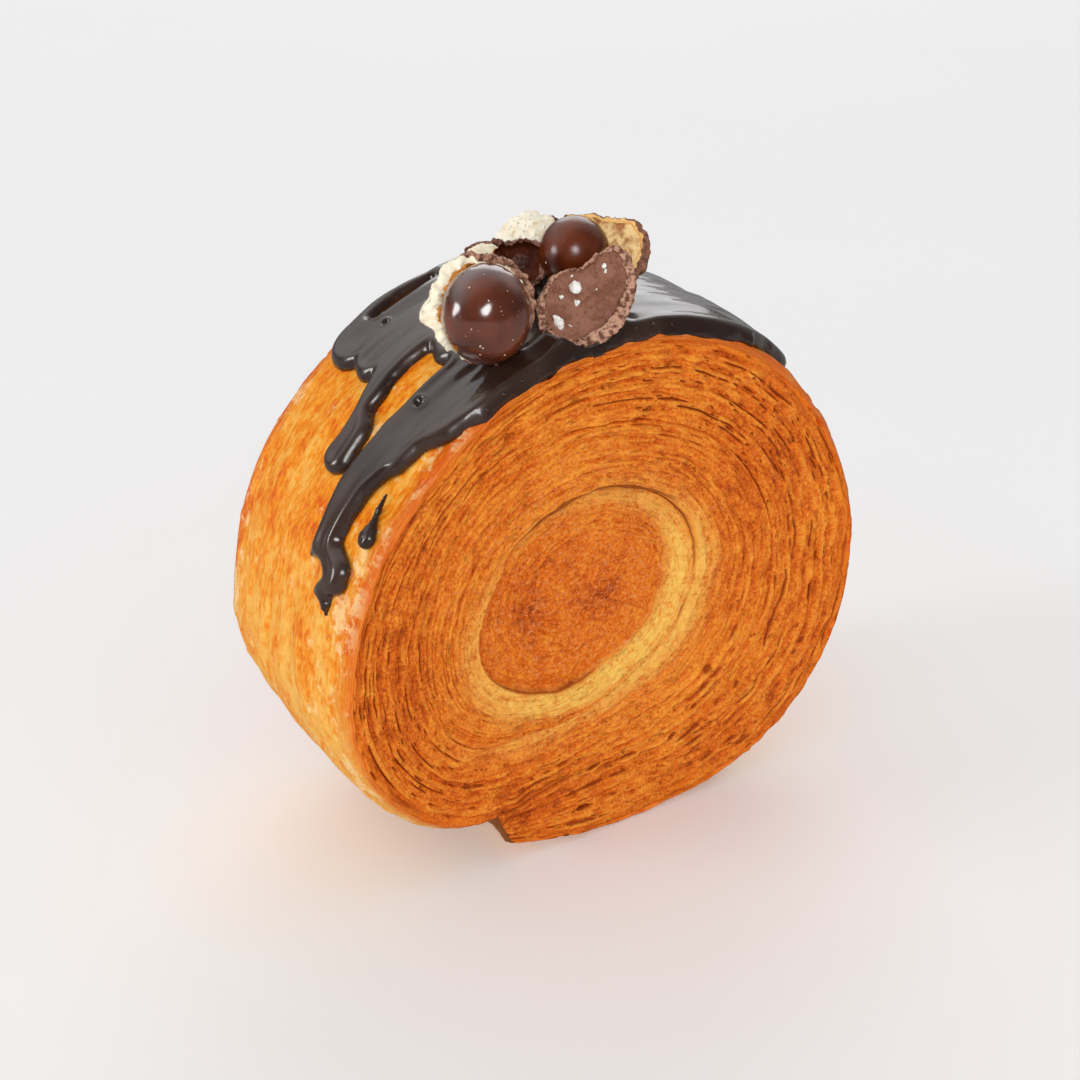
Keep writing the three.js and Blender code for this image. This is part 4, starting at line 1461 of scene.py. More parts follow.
class Nodes:
    """Adds linked nodes to one tree."""

    def __init__(self, tree: Tree) -> None:
        """Keeps the tree that the nodes go into."""
        self.tree = tree

    def feed(self, target: Socket, value: Input) -> None:
        """Links a value to an input, or sets it where it is a plain one.

        Args:
            target: A node's input.
            value: Another node's output, or a number or colour.
        """
        if isinstance(value, Socket):
            self.tree.links.new(value, target)
        else:
            target.default_value = value

    def add(self, kind: str, inputs: dict | None = None, **settings: object) -> bpy.types.Node:
        """Adds a node.

        Args:
            kind: Blender's name for it.
            inputs: A value or a socket for each input, by name or number.
            **settings: Its own properties.

        Returns:
            The node.
        """
        node = self.tree.nodes.new(kind)
        for name, value in settings.items():
            setattr(node, name, value)
        for key, value in (inputs or {}).items():
            self.feed(node.inputs[key], value)
        return node

    def math(self, operation: str, a: Input, b: Input = 0.0, clamp: bool = False) -> Socket:
        """One step of arithmetic."""
        return self.add("ShaderNodeMath", {0: a, 1: b}, operation=operation, use_clamp=clamp).outputs[0]

    def plus(self, total: Input, *terms: Input) -> Socket:
        """A sum, one term after the other.

        Args:
            total: The first term.
            *terms: The others.

        Returns:
            The last sum's output.
        """
        for term in terms:
            total = self.math("ADD", total, term)
        return total

    def times(self, a: Input, b: Input, clamp: bool = False) -> Socket:
        """A product."""
        return self.math("MULTIPLY", a, b, clamp)

    def scaled(self, value: Input, factor: float, plus: float = 0.0) -> Socket:
        """A value times a number, plus a number."""
        inputs = {0: value, 1: factor, 2: plus}
        return self.add("ShaderNodeMath", inputs, operation="MULTIPLY_ADD").outputs[0]

    def centred(self, value: Input, factor: float) -> Socket:
        """A value round 0.5 times a number, moved to lie round 0."""
        return self.scaled(value, factor, -factor / 2)

    def mixed(self, factor: Input, a: Input, b: Input) -> Socket:
        """A mix of two colours."""
        return self.add("ShaderNodeMix", {0: factor, 6: a, 7: b}, data_type="RGBA").outputs[2]

    def steps(self, value: Input, low: float, high: float) -> Socket:
        """A smooth step from 0 at low to 1 at high."""
        limits = {0: value, 1: low, 2: high, 3: 0.0, 4: 1.0}
        return self.add("ShaderNodeMapRange", limits, interpolation_type="SMOOTHSTEP").outputs[0]

    def noise(self, vector: Input, scale: float, detail: float = 3.0, roughness: float = 0.5) -> Socket:
        """A noise value from about 0.2 to 0.8."""
        inputs = {"Vector": vector, "Scale": scale, "Detail": detail, "Roughness": roughness}
        return self.add("ShaderNodeTexNoise", inputs).outputs[0]

    def spots(self, vector: Input, scale: Input, inner: float, outer: float) -> Socket:
        """Scattered round spots, 1 up to the inner radius and 0 from the outer one."""
        cells = self.add("ShaderNodeTexVoronoi", {"Vector": vector, "Scale": scale})
        return self.math("SUBTRACT", 1.0, self.steps(cells.outputs["Distance"], inner, outer))

    def stretched(self, vector: Input, x: float, y: float, z: float = 1.0) -> Socket:
        """A vector scaled along each axis."""
        return self.add("ShaderNodeMapping", {"Vector": vector, "Scale": (x, y, z)}).outputs[0]

    def split(self, vector: Input) -> bpy.types.NodeOutputs:
        """A vector's X, Y and Z."""
        return self.add("ShaderNodeSeparateXYZ", {0: vector}).outputs

    def joined(self, x: Input, y: Input) -> Socket:
        """A vector from X and Y."""
        return self.add("ShaderNodeCombineXYZ", {0: x, 1: y}).outputs[0]

    def values(self, *names: str) -> tuple[Socket, ...]:
        """Mesh attributes."""
        return tuple(self.add("ShaderNodeAttribute", attribute_name=name).outputs["Fac"] for name in names)


class Group(Nodes):
    """A shader node group with named inputs and outputs."""

    def __init__(self, name: str, **inputs: float | None) -> None:
        """Starts the group.

        Args:
            name: The group's name.
            **inputs: The default of each number it takes, or None for a vector.
        """
        super().__init__(bpy.data.node_groups.new(name, "ShaderNodeTree"))
        for key, default in inputs.items():
            kind = "NodeSocketVector" if default is None else "NodeSocketFloat"
            socket = self.tree.interface.new_socket(name=key, in_out="INPUT", socket_type=kind)
            if default is not None:
                socket.default_value = default
        self.given = self.tree.nodes.new("NodeGroupInput").outputs

    def finished(self, **values: Socket) -> Tree:
        """Gives the values out, and gives back the group's tree.

        Args:
            **values: An output for each name.

        Returns:
            The group's tree.
        """
        for key in values:
            self.tree.interface.new_socket(name=key, in_out="OUTPUT", socket_type="NodeSocketFloat")
        self.add("NodeGroupOutput", values)
        return self.tree


def streak_group() -> Tree:
    """Streaks that run along a strip: a value for colour, thin dark slits, and a height.

    Returns:
        The group's tree.
    """
    nodes = Group("baked_streaks", Strip=None, Stretch=0.1, Density=1.0, Slits=0.6)
    strip = nodes.split(nodes.given["Strip"])
    place = nodes.joined(
        nodes.times(strip[0], nodes.given["Stretch"]), nodes.times(strip[1], nodes.given["Density"])
    )
    fine = nodes.noise(nodes.stretched(place, 3.2, 2.6), 1.0, 3.0, 0.6)
    fine = nodes.times(nodes.math("SUBTRACT", fine, 0.5), 1.1)
    tone = nodes.math("ADD", nodes.scaled(nodes.noise(place, 1.0, 4.0, 0.6), 1.9, -0.45), fine, clamp=True)
    slit = nodes.steps(nodes.noise(nodes.stretched(place, 2.1, 1.35), 1.0, 2.0, 0.45), 0.63, 0.74)
    slit = nodes.times(slit, nodes.given["Slits"], clamp=True)
    return nodes.finished(Tone=tone, Slit=slit, Height=nodes.math("SUBTRACT", nodes.times(tone, 0.5), slit))


def grain_group() -> Tree:
    """Fine grain in object space: a value round 0.5, small pores, and a height.

    Returns:
        The group's tree.
    """
    nodes = Group("fine_grain", Vector=None, Scale=1200.0, Pores=0.5)
    vector, scale = nodes.given["Vector"], nodes.given["Scale"]
    value = nodes.noise(vector, scale, 4.0, 0.6)
    pore = nodes.times(nodes.spots(vector, scale, 0.1, 0.32), nodes.given["Pores"], clamp=True)
    return nodes.finished(Value=value, Pore=pore, Height=nodes.math("SUBTRACT", value, pore))


@dataclass(frozen=True)
class Groups:
    """The node groups that several finishes share."""

    streaks: Tree
    grain: Tree


class Surface(Nodes):
    """A material with one Principled shader, and the nodes that dress it."""

    def __init__(self, name: str, groups: Groups | None = None, **constants: float) -> None:
        """Starts the material.

        Args:
            name: The material's name.
            groups: The node groups that it may use.
            **constants: Values that are the same all over, by socket name with _ for a space.
        """
        self.material = bpy.data.materials.new(name)
        self.material.use_nodes = True
        super().__init__(self.material.node_tree)
        self.groups = groups
        self.shader = self.tree.nodes["Principled BSDF"]
        self.dress(**constants)
        self.place = self.add("ShaderNodeTexCoord").outputs["Object"]

    def dress(self, **values: Input) -> Finish:
        """Feeds the shader's inputs, by socket name with _ for a space, and gives the material.

        Args:
            **values: A socket or plain value for each input.

        Returns:
            The finished material.
        """
        for key, value in values.items():
            self.feed(self.shader.inputs[key.replace("_", " ")], value)
        return self.material

    def strip(self) -> Socket:
        """The place along and across the strip, in the piece's own UV map."""
        return self.add("ShaderNodeUVMap", uv_map="strip").outputs[0]

    def streaks(self, strip: Socket, stretch: float, density: float, slits: float) -> bpy.types.NodeOutputs:
        """The shared streaks."""
        inputs = {"Strip": strip, "Stretch": stretch, "Density": density, "Slits": slits}
        return self.add("ShaderNodeGroup", inputs, node_tree=self.groups.streaks).outputs

    def grain(self, scale: float, pores: float) -> bpy.types.NodeOutputs:
        """The shared grain."""
        inputs = {"Vector": self.place, "Scale": scale, "Pores": pores}
        return self.add("ShaderNodeGroup", inputs, node_tree=self.groups.grain).outputs

    def ramp(self, tone: Socket, dark: Color, middle: Color, at: float, light: Color, end: float) -> Socket:
        """Three colours by a tone: dark at 0, the middle one in between and light at the end.

        Args:
            tone: What picks the colour.
            dark, middle, light: The three colours.
            at, end: The tones of the middle and the light one.

        Returns:
            The colour.
        """
        ramp = self.add("ShaderNodeValToRGB", {0: tone})
        elements = ramp.color_ramp.elements
        elements[0].position, elements[0].color = 0.0, dark
        elements[1].position, elements[1].color = end, light
        elements.new(at).color = middle
        return ramp.outputs[0]

    def bumped(self, strength: float, distance: float, height: Socket) -> Socket:
        """A normal from a height."""
        inputs = {"Strength": strength, "Distance": distance, "Height": height}
        return self.add("ShaderNodeBump", inputs).outputs[0]


@dataclass(frozen=True)
class FaceFinish:
    """The cut, baked layers of a coiled face."""

    groups: Groups
    brown: Color = srgb(166, 64, 8)
    amber: Color = srgb(220, 105, 18)
    light: Color = srgb(249, 158, 52)
    painted_sheen: Color = srgb(234, 154, 98)
    heart: Triple = (-0.007, 0.0, 0.0478)
    pale: Color = srgb(252, 202, 98)
    pale_shade: Color = srgb(236, 144, 44)
    slit: Color = srgb(138, 48, 4)
    edge: Color = srgb(236, 122, 20)
    bark: Color = srgb(176, 66, 6)

    def build(self, name: str) -> Finish:
        """Makes the material.

        Args:
            name: The material's name.

        Returns:
            The material.
        """
        nodes = Surface(name, self.groups, Roughness=0.6, Specular_IOR_Level=0.14)
        place = nodes.place
        along, across, _ = nodes.split(nodes.strip())
        sway = nodes.scaled(nodes.noise(place, 110.0, 1.0), 1.7)
        sway = nodes.plus(sway, nodes.scaled(nodes.noise(place, 380.0, 2.0), 0.35))
        strip = nodes.joined(along, nodes.plus(across, sway))
        streaks, grain = nodes.streaks(strip, 0.42, 0.95, 0.26), nodes.grain(1900.0, 0.4)
        brown, pale, groove, ridge, grainy, outer = nodes.values(
            "brown", "pale", "groove", "ridge", "grainy", "outer"
        )
        layered = nodes.scaled(grainy, -1.0, 1.0)

        tone = nodes.scaled(nodes.times(nodes.centred(streaks["Tone"], 1.0), layered), 0.38, 0.56)
        bands = nodes.noise(nodes.stretched(strip, 0.09, 0.8), 1.0, 3.0, 0.6)
        # Painted relief shading joins the tone: lighter on ridges, darker in hollows.
        tone = nodes.plus(
            tone, nodes.centred(grain["Value"], 1.4),
            nodes.centred(nodes.noise(place, 420.0, 3.0, 0.6), 0.6),
            nodes.times(nodes.centred(bands, 0.6), layered), nodes.centred(ridge, 0.42),
        )
        tone = nodes.math("SUBTRACT", tone, nodes.scaled(brown, 0.6, -0.14))
        dots = nodes.centred(nodes.noise(place, 800.0, 3.0, 0.7), 1.3)
        tone = nodes.plus(tone, nodes.times(dots, grainy))
        color = nodes.ramp(tone, self.brown, self.amber, 0.42, self.light, 0.95)

        # Pale pinkish speckles, fewer near the heart: painted sheen where a glossy crust would catch the
        # light.
        away = nodes.add(
            "ShaderNodeVectorMath", {0: nodes.stretched(place, 1, 0, 1), 1: self.heart}, operation="DISTANCE"
        ).outputs["Value"]
        painted_sheen = nodes.noise(nodes.stretched(place, 1.0, 1.0, 1.7), 1150.0, 3.0, 0.65)
        painted_sheen = nodes.steps(painted_sheen, 0.5, 0.72)
        painted_sheen = nodes.times(painted_sheen, nodes.scaled(nodes.steps(away, 0.018, 0.034), -0.48, 0.65))
        color = nodes.mixed(painted_sheen, color, self.painted_sheen)
        fibers = nodes.noise(nodes.stretched(strip, 0.12, 1.6), 1.0, 4.0, 0.6)
        crust = nodes.mixed(nodes.steps(fibers, 0.38, 0.58), self.bark, self.edge)
        color = nodes.mixed(nodes.times(outer, 0.7), color, crust)
        pale_tone = nodes.mixed(nodes.steps(tone, 0.1, 0.6), self.pale_shade, self.pale)
        patchy = nodes.scaled(nodes.noise(place, 640.0, 3.0, 0.65), 2.2, -0.15)
        color = nodes.mixed(nodes.times(pale, patchy, clamp=True), color, pale_tone)

        pit = nodes.spots(nodes.stretched(strip, 0.7, 1.3), 1.0, 0.1, 0.34)
        pit = nodes.times(pit, nodes.steps(nodes.noise(place, 170.0, 2.0), 0.52, 0.64))
        slit = nodes.times(streaks["Slit"], layered)
        slit = nodes.math("MAXIMUM", slit, nodes.times(pit, layered))
        hole = nodes.math("MAXIMUM", slit, nodes.times(grain["Pore"], 0.45))
        hole = nodes.times(hole, nodes.scaled(pale, -0.75, 1.0), clamp=True)
        # Slits, pits and pores darken to the slit colour, and the groove value paints shade into the cuts
        # and cracks with it.
        hole = nodes.math("MAXIMUM", hole, nodes.steps(groove, 0.05, 0.6))
        color = nodes.mixed(nodes.times(hole, 0.75), color, self.slit)
        height = nodes.math("SUBTRACT", nodes.times(streaks["Height"], layered), hole)
        height = nodes.plus(height, grain["Height"])
        return nodes.dress(Base_Color=color, Normal=nodes.bumped(0.6, 0.0003, height))


@dataclass(frozen=True)
class RimFinish:
    """The egg-washed outside of the roll."""

    groups: Groups
    gold: Color = srgb(238, 142, 12)
    orange: Color = srgb(220, 94, 2)
    light: Color = srgb(242, 180, 80)
    flake: Color = srgb(250, 214, 152)
    rust: Color = srgb(214, 84, 10)
    layer: Color = srgb(238, 134, 44)
    notch_toast_and_shadow: Color = srgb(112, 58, 20)

    def build(self, name: str) -> Finish:
        """Makes the material.

        Args:
            name: The material's name.

        Returns:
            The material.
        """
        nodes = Surface(name, self.groups, Specular_IOR_Level=0.17)
        place, strip = nodes.place, nodes.strip()
        edge, under, lip, notch_toast_and_shadow = nodes.values("edge", "under", "lip", "notch_toast_and_shadow")
        along, across, _ = nodes.split(strip)
        sway = nodes.centred(nodes.noise(nodes.stretched(strip, 0.07, 0.1), 1.0, 2.0), 4.0)
        bent = nodes.joined(along, nodes.plus(across, sway, nodes.scaled(lip, -4.0)))
        lip = nodes.math("ABSOLUTE", lip)
        streaks, grain = nodes.streaks(bent, 0.2, 0.6, 0.25), nodes.grain(1100.0, 0.2)
        broad = nodes.noise(nodes.stretched(strip, 0.07, 0.12), 1.0, 3.0, 0.6)
        fine = nodes.noise(nodes.stretched(bent, 0.42, 1.1), 1.0, 5.0, 0.7)
        tone = nodes.plus(
            nodes.scaled(streaks["Tone"], 0.6, 0.2), nodes.centred(broad, 1.8), nodes.centred(fine, 1.8),
            nodes.centred(nodes.noise(place, 480.0, 4.0, 0.65), 1.3), nodes.centred(grain["Value"], 0.7),
            nodes.scaled(under, 0.3, -0.04),
        )
        color = nodes.ramp(tone, self.orange, self.gold, 0.45, self.light, 0.92)

        fibers = nodes.noise(nodes.stretched(bent, 0.16, 1.5), 1.0, 5.0, 0.7)
        rust = nodes.math("ADD", nodes.scaled(edge, 1.5, -0.5), nodes.centred(fibers, 3.0), clamp=True)
        rust = nodes.times(rust, nodes.scaled(under, -0.6, 0.85), clamp=True)
        color = nodes.mixed(rust, color, self.rust)
        layers = nodes.mixed(nodes.steps(fibers, 0.4, 0.56), self.rust, self.layer)
        color = nodes.mixed(nodes.scaled(nodes.steps(lip, 0.15, 0.6), 0.85), color, layers)
        patch = nodes.plus(
            nodes.noise(place, 260.0, 6.0, 0.72), nodes.centred(nodes.noise(place, 45.0, 1.0), 0.3),
            nodes.scaled(nodes.steps(edge, 0.0, 0.35), 0.075), nodes.scaled(under, 0.045),
        )
        flake = nodes.times(nodes.steps(patch, 0.6, 0.72), nodes.scaled(lip, -1.4, 0.95), clamp=True)
        color = nodes.mixed(nodes.scaled(flake, 0.75), color, self.flake)
        hole = nodes.math("MAXIMUM", streaks["Slit"], nodes.times(grain["Pore"], 0.5))
        color = nodes.mixed(hole, color, self.rust)
        # Painted shadow with toasted crust on the notch's step wall.
        color = nodes.mixed(nodes.scaled(notch_toast_and_shadow, 0.85), color, self.notch_toast_and_shadow)
        height = nodes.plus(streaks["Height"], nodes.scaled(fine, 1.2))
        return nodes.dress(
            Base_Color=color, Normal=nodes.bumped(0.7, 0.0004, height),
            Roughness=nodes.scaled(grain["Value"], 0.4, 0.22),
        )


@dataclass(frozen=True)
class GlazeFinish:
    """Set dark chocolate glaze."""

    groups: Groups
    dark: Color = srgb(40, 24, 17)
    sheen: Color = srgb(58, 38, 29)

    def build(self, name: str) -> Finish:
        """Makes the material.

        Args:
            name: The material's name.

        Returns:
            The material.
        """
        nodes = Surface(name, self.groups, Coat_Weight=0.5, Coat_Roughness=0.05)
        cloud = nodes.steps(nodes.noise(nodes.place, 110.0, 3.0, 0.5), 0.35, 0.7)
        dull = nodes.steps(nodes.noise(nodes.place, 160.0, 4.0), 0.3, 0.75)
        return nodes.dress(
            Base_Color=nodes.mixed(cloud, self.dark, self.sheen), Roughness=nodes.scaled(dull, 0.16, 0.2),
            Normal=nodes.bumped(0.12, 0.0003, nodes.grain(420.0, 0.0)["Height"]),
        )


@dataclass(frozen=True)
class ChocolateFinish:
    """A polished chocolate coat with tiny pale specks."""

    groups: Groups
    deep: Color = srgb(68, 23, 5)
    warm: Color = srgb(102, 42, 14)
    speck: Color = srgb(205, 180, 150)
    gloss: float = 1.0

    def build(self, name: str) -> Finish:
        """Makes the material.

        Args:
            name: The material's name.

        Returns:
            The material.
        """
        nodes = Surface(
            name, self.groups, Specular_IOR_Level=0.2, Coat_Weight=self.gloss,
            Coat_Roughness=0.3 - 0.14 * self.gloss, Coat_IOR=1.8,
        )
        cloud = nodes.steps(nodes.noise(nodes.place, 170.0, 3.0, 0.5), 0.35, 0.7)
        sparse = nodes.steps(nodes.noise(nodes.place, 300.0, 1.0), 0.55, 0.6)
        specks = nodes.times(nodes.spots(nodes.place, 520.0, 0.06, 0.14), sparse)
        grain = nodes.grain(900.0, 0.0)
        return nodes.dress(
            Base_Color=nodes.mixed(specks, nodes.mixed(cloud, self.deep, self.warm), self.speck),
            Roughness=nodes.scaled(grain["Value"], 0.16, 0.14),
            Normal=nodes.bumped(0.1, 0.0002, grain["Height"]),
        )


@dataclass(frozen=True)
class ShellFinish:
    """A broken shell, whose wall shows a coat outside, wafer in between and a lining inside."""

    groups: Groups
    coat: Color = srgb(98, 56, 40)
    edge: Color = srgb(186, 138, 112)
    cream: Color = srgb(255, 244, 218)
    lining: Color = srgb(232, 150, 62)
    inside: Color = srgb(128, 84, 66)
    shade: Color = srgb(98, 56, 40)
    lining_from: float = 0.86
    pores: float = 0.8
    roughness: float = 0.6

    def build(self, name: str) -> Finish:
        """Makes the material.

        Args:
            name: The material's name.

        Returns:
            The material.
        """
        nodes = Surface(name, self.groups, Roughness=self.roughness, Specular_IOR_Level=0.3)
        place, grain = nodes.place, nodes.grain(1300.0, self.pores)
        depth, lip, wafer_from = nodes.values("depth", "lip", "wafer")
        wander = nodes.centred(nodes.noise(place, 700.0, 3.0, 0.6), 0.5)
        at = nodes.plus(depth, nodes.times(wander, lip))
        crumbly = nodes.mixed(nodes.steps(grain["Value"], 0.38, 0.6), self.coat, self.edge)
        color = nodes.mixed(lip, self.coat, crumbly)
        past = nodes.steps(nodes.math("SUBTRACT", at, wafer_from), -0.03, 0.03)
        color = nodes.mixed(nodes.times(past, lip), color, self.cream)
        lined = nodes.times(nodes.steps(at, self.lining_from, self.lining_from + 0.06), past)
        color = nodes.mixed(nodes.times(lined, lip), color, self.lining)
        inner = nodes.times(nodes.steps(depth, 0.9991, 0.9999), nodes.scaled(lip, -0.7, 1.0))
        cloud = nodes.steps(nodes.noise(place, 340.0, 4.0, 0.65), 0.42, 0.62)
        color = nodes.mixed(inner, color, nodes.mixed(cloud, self.inside, self.shade))
        color = nodes.mixed(nodes.times(grain["Pore"], 0.4), color, self.coat)
        return nodes.dress(Base_Color=color, Normal=nodes.bumped(0.6, 0.0004, grain["Height"]))


@dataclass(frozen=True)
class WaferFinish:
    """Dry pale wafer, crumbly and slightly golden in places, with a coat where the mesh says."""

    groups: Groups
    cream: Color = srgb(252, 244, 222)
    gold: Color = srgb(232, 196, 130)
    coat: Color = srgb(92, 48, 32)

    def build(self, name: str) -> Finish:
        """Makes the material.

        Args:
            name: The material's name.

        Returns:
            The material.
        """
        nodes = Surface(name, self.groups, Roughness=0.8, Specular_IOR_Level=0.25)
        grain = nodes.grain(1100.0, 0.6)
        golden = nodes.steps(nodes.noise(nodes.place, 260.0, 3.0), 0.5, 0.75)
        color = nodes.mixed(golden, self.cream, self.gold)
        color = nodes.mixed(nodes.times(grain["Pore"], 0.35), color, self.gold)
        color = nodes.mixed(nodes.values("coat")[0], color, self.coat)
        return nodes.dress(Base_Color=color, Normal=nodes.bumped(0.8, 0.0005, grain["Height"]))


@dataclass(frozen=True)
class PlainFinish:
    """One colour with fine grain, for small bits."""

    groups: Groups
    color: Color
    roughness: float = 0.5
    shade: float = 0.72

    def build(self, name: str) -> Finish:
        """Makes the material.

        Args:
            name: The material's name.

        Returns:
            The material.
        """
        nodes = Surface(name, self.groups, Roughness=self.roughness)
        grain = nodes.grain(1500.0, 0.2)
        darker = tuple(self.shade * c for c in self.color[:3]) + (1.0,)
        return nodes.dress(
            Base_Color=nodes.mixed(nodes.steps(grain["Value"], 0.3, 0.6), darker, self.color),
            Normal=nodes.bumped(0.4, 0.0003, grain["Height"]),
        )


def grey(value: float) -> Color:
    """A grey, as linear light."""
    return (value, value, value, 1.0)


def floor_material() -> Finish:
    """A plain pale floor, darker where something shiny mirrors it.

    Returns:
        The material.
    """
    nodes = Surface("pale_floor", Roughness=0.9, Specular_IOR_Level=0.1)
    color = nodes.mixed(nodes.noise(nodes.place, 8.0, 2.0), grey(0.93), grey(0.95))
    glossy = nodes.add("ShaderNodeLightPath").outputs["Is Glossy Ray"]
    return nodes.dress(Base_Color=nodes.mixed(glossy, color, grey(0.35)))


# Studio


@dataclass
class Studio:
    """The camera at the photograph's angle, soft lights and a pale floor."""

    eye: Triple = (-137.49, -220.41, 183.47)
    back: Triple = (-0.4637, -0.7543, 0.4648)
    lens: float = 55.535
    sensor_width: float = 36.0
    sky: float = 0.6
    mirrored_sky: tuple[float, float] = (0.1, 1.15)
    lights: tuple[tuple[str, float, float, float, float], ...] = (
        # name, degrees left of the front, elevation, width, brightness
        ("front_window", 30, 28, 960, 10.4),
        ("left_window", 108, 12, 900, 8.8),
        ("back_panel", 215, 24, 2000, 1.5),
    )
    light_distance: float = 2500.0
    lit_height: float = 50.0
    floor_reach: float = 4000.0

    def camera(self) -> None:
        """Places the camera."""
        data = bpy.data.cameras.new("camera")
        data.lens, data.sensor_width = self.lens, self.sensor_width
        data.clip_start, data.clip_end = 0.01, 20.0
        camera = placed_in_scene("camera", data)
        camera.rotation_mode = "QUATERNION"
        camera.location = Vector(self.eye) * MM
        camera.rotation_quaternion = (-Vector(self.back)).to_track_quat("-Z", "Y")
        bpy.context.scene.camera = camera

    def light(self) -> None:
        """Sets the sky and the soft lights round the roll."""
        target = Vector((0, 0, self.lit_height)) * MM
        for name, left, up, width, brightness in self.lights:
            direction = direction_to(left, up)
            data = bpy.data.lights.new(name, "AREA")
            data.shape, data.size = "DISK", width * MM
            data.energy = brightness * math.pi * math.pi * (width * MM / 2) ** 2
            lamp = placed_in_scene(name, data)
            lamp.location = target + direction * self.light_distance * MM
            lamp.rotation_mode = "QUATERNION"
            lamp.rotation_quaternion = direction.to_track_quat("Z", "Y")
        world = bpy.data.worlds.new("sky")
        world.use_nodes = True
        nodes = Nodes(world.node_tree)
        _, behind, above = nodes.split(nodes.add("ShaderNodeTexCoord").outputs["Generated"])
        low, high = self.mirrored_sky
        mirrored = nodes.times(nodes.steps(above, 0.0, 0.7), nodes.steps(behind, -0.5, 0.7))
        mirrored = nodes.scaled(mirrored, high - low, low)
        glossy = nodes.add("ShaderNodeLightPath").outputs["Is Glossy Ray"]
        strength = nodes.add("ShaderNodeMix", {0: glossy, 2: self.sky, 3: mirrored}, data_type="FLOAT")
        background = world.node_tree.nodes["Background"].inputs
        nodes.feed(background["Strength"], strength.outputs[0])
        nodes.feed(background["Color"], grey(1.0))
        bpy.context.scene.world = world
        bpy.context.scene.view_settings.view_transform = "Standard"

    def floor(self) -> None:
        """Lays the floor."""
        points = self.floor_reach * np.array([[-1, -1, 0], [1, -1, 0], [1, 1, 0], [-1, 1, 0]])
        floor = make_piece("floor", points, [np.array([[0, 1, 2, 3]])], floor_material(), sharp_faces=True)


def build_roll(shape: CoilShape, groups: Groups) -> None:
    """Makes the two coiled faces and the rim.

    Args:
        shape: The roll's cross-section.
        groups: The shared shader groups.
    """
    front_pits = tuple(Pit(*row) for row in (
        (-7.5, -35.0, 1.1, 0.5, 2.2), (42.0, 0.5, 0.7, 0.5, 1.4), (41.0, -5.6, 1.8, 0.4, 1.5),
        (18.7, -15.4, 0.7, 0.4, 1.2), (11.2, -27.0, 1.0, 0.4, 1.3), (-5.1, -27.5, 1.5, 0.35, 1.4),
    ))
    # Darker patches of baking; the one at (-16, -31) is painted shade under the flap's crack.
    front_patches = tuple(DarkPatch(*row) for row in (
        (-41, 4, 6, 20, 0.42), (40, -8, 10, 24, 0.2), (28, 20, 9, 12, 0.42),
        (-16, -31, 12, 4, 0.6), (-7, 4, 12, 9, 0.35), (-17, 5, 3.6, 6, 0.3), (-2, 5, 4, 3, 0.35),
        (-12, 14, 5, 2.4, 0.25), (-30, -22, 10, 8, 0.3), (20, -34, 16, 8, 0.2),
    ))
    face = FaceFinish(groups).build("baked_layers")
    front = CoiledFace(shape, Side.FRONT, pits=front_pits, patches=front_patches)
    settle(front.build("front_coil", face), Slot.CRUST, "roll")
    back = CoiledFace(
        shape, Side.BACK, core_recess=1.2, seed=23,
        patches=(DarkPatch(10, 20, 16, 10, 0.4), DarkPatch(-25, -15, 14, 12, 0.35)),
    )
    settle(back.build("back_coil", face), Slot.CRUST, "roll")
    rim = CrustRim(shape).build("crust_rim", RimFinish(groups).build("washed_crust"))
    settle(rim, Slot.CRUST, "roll")


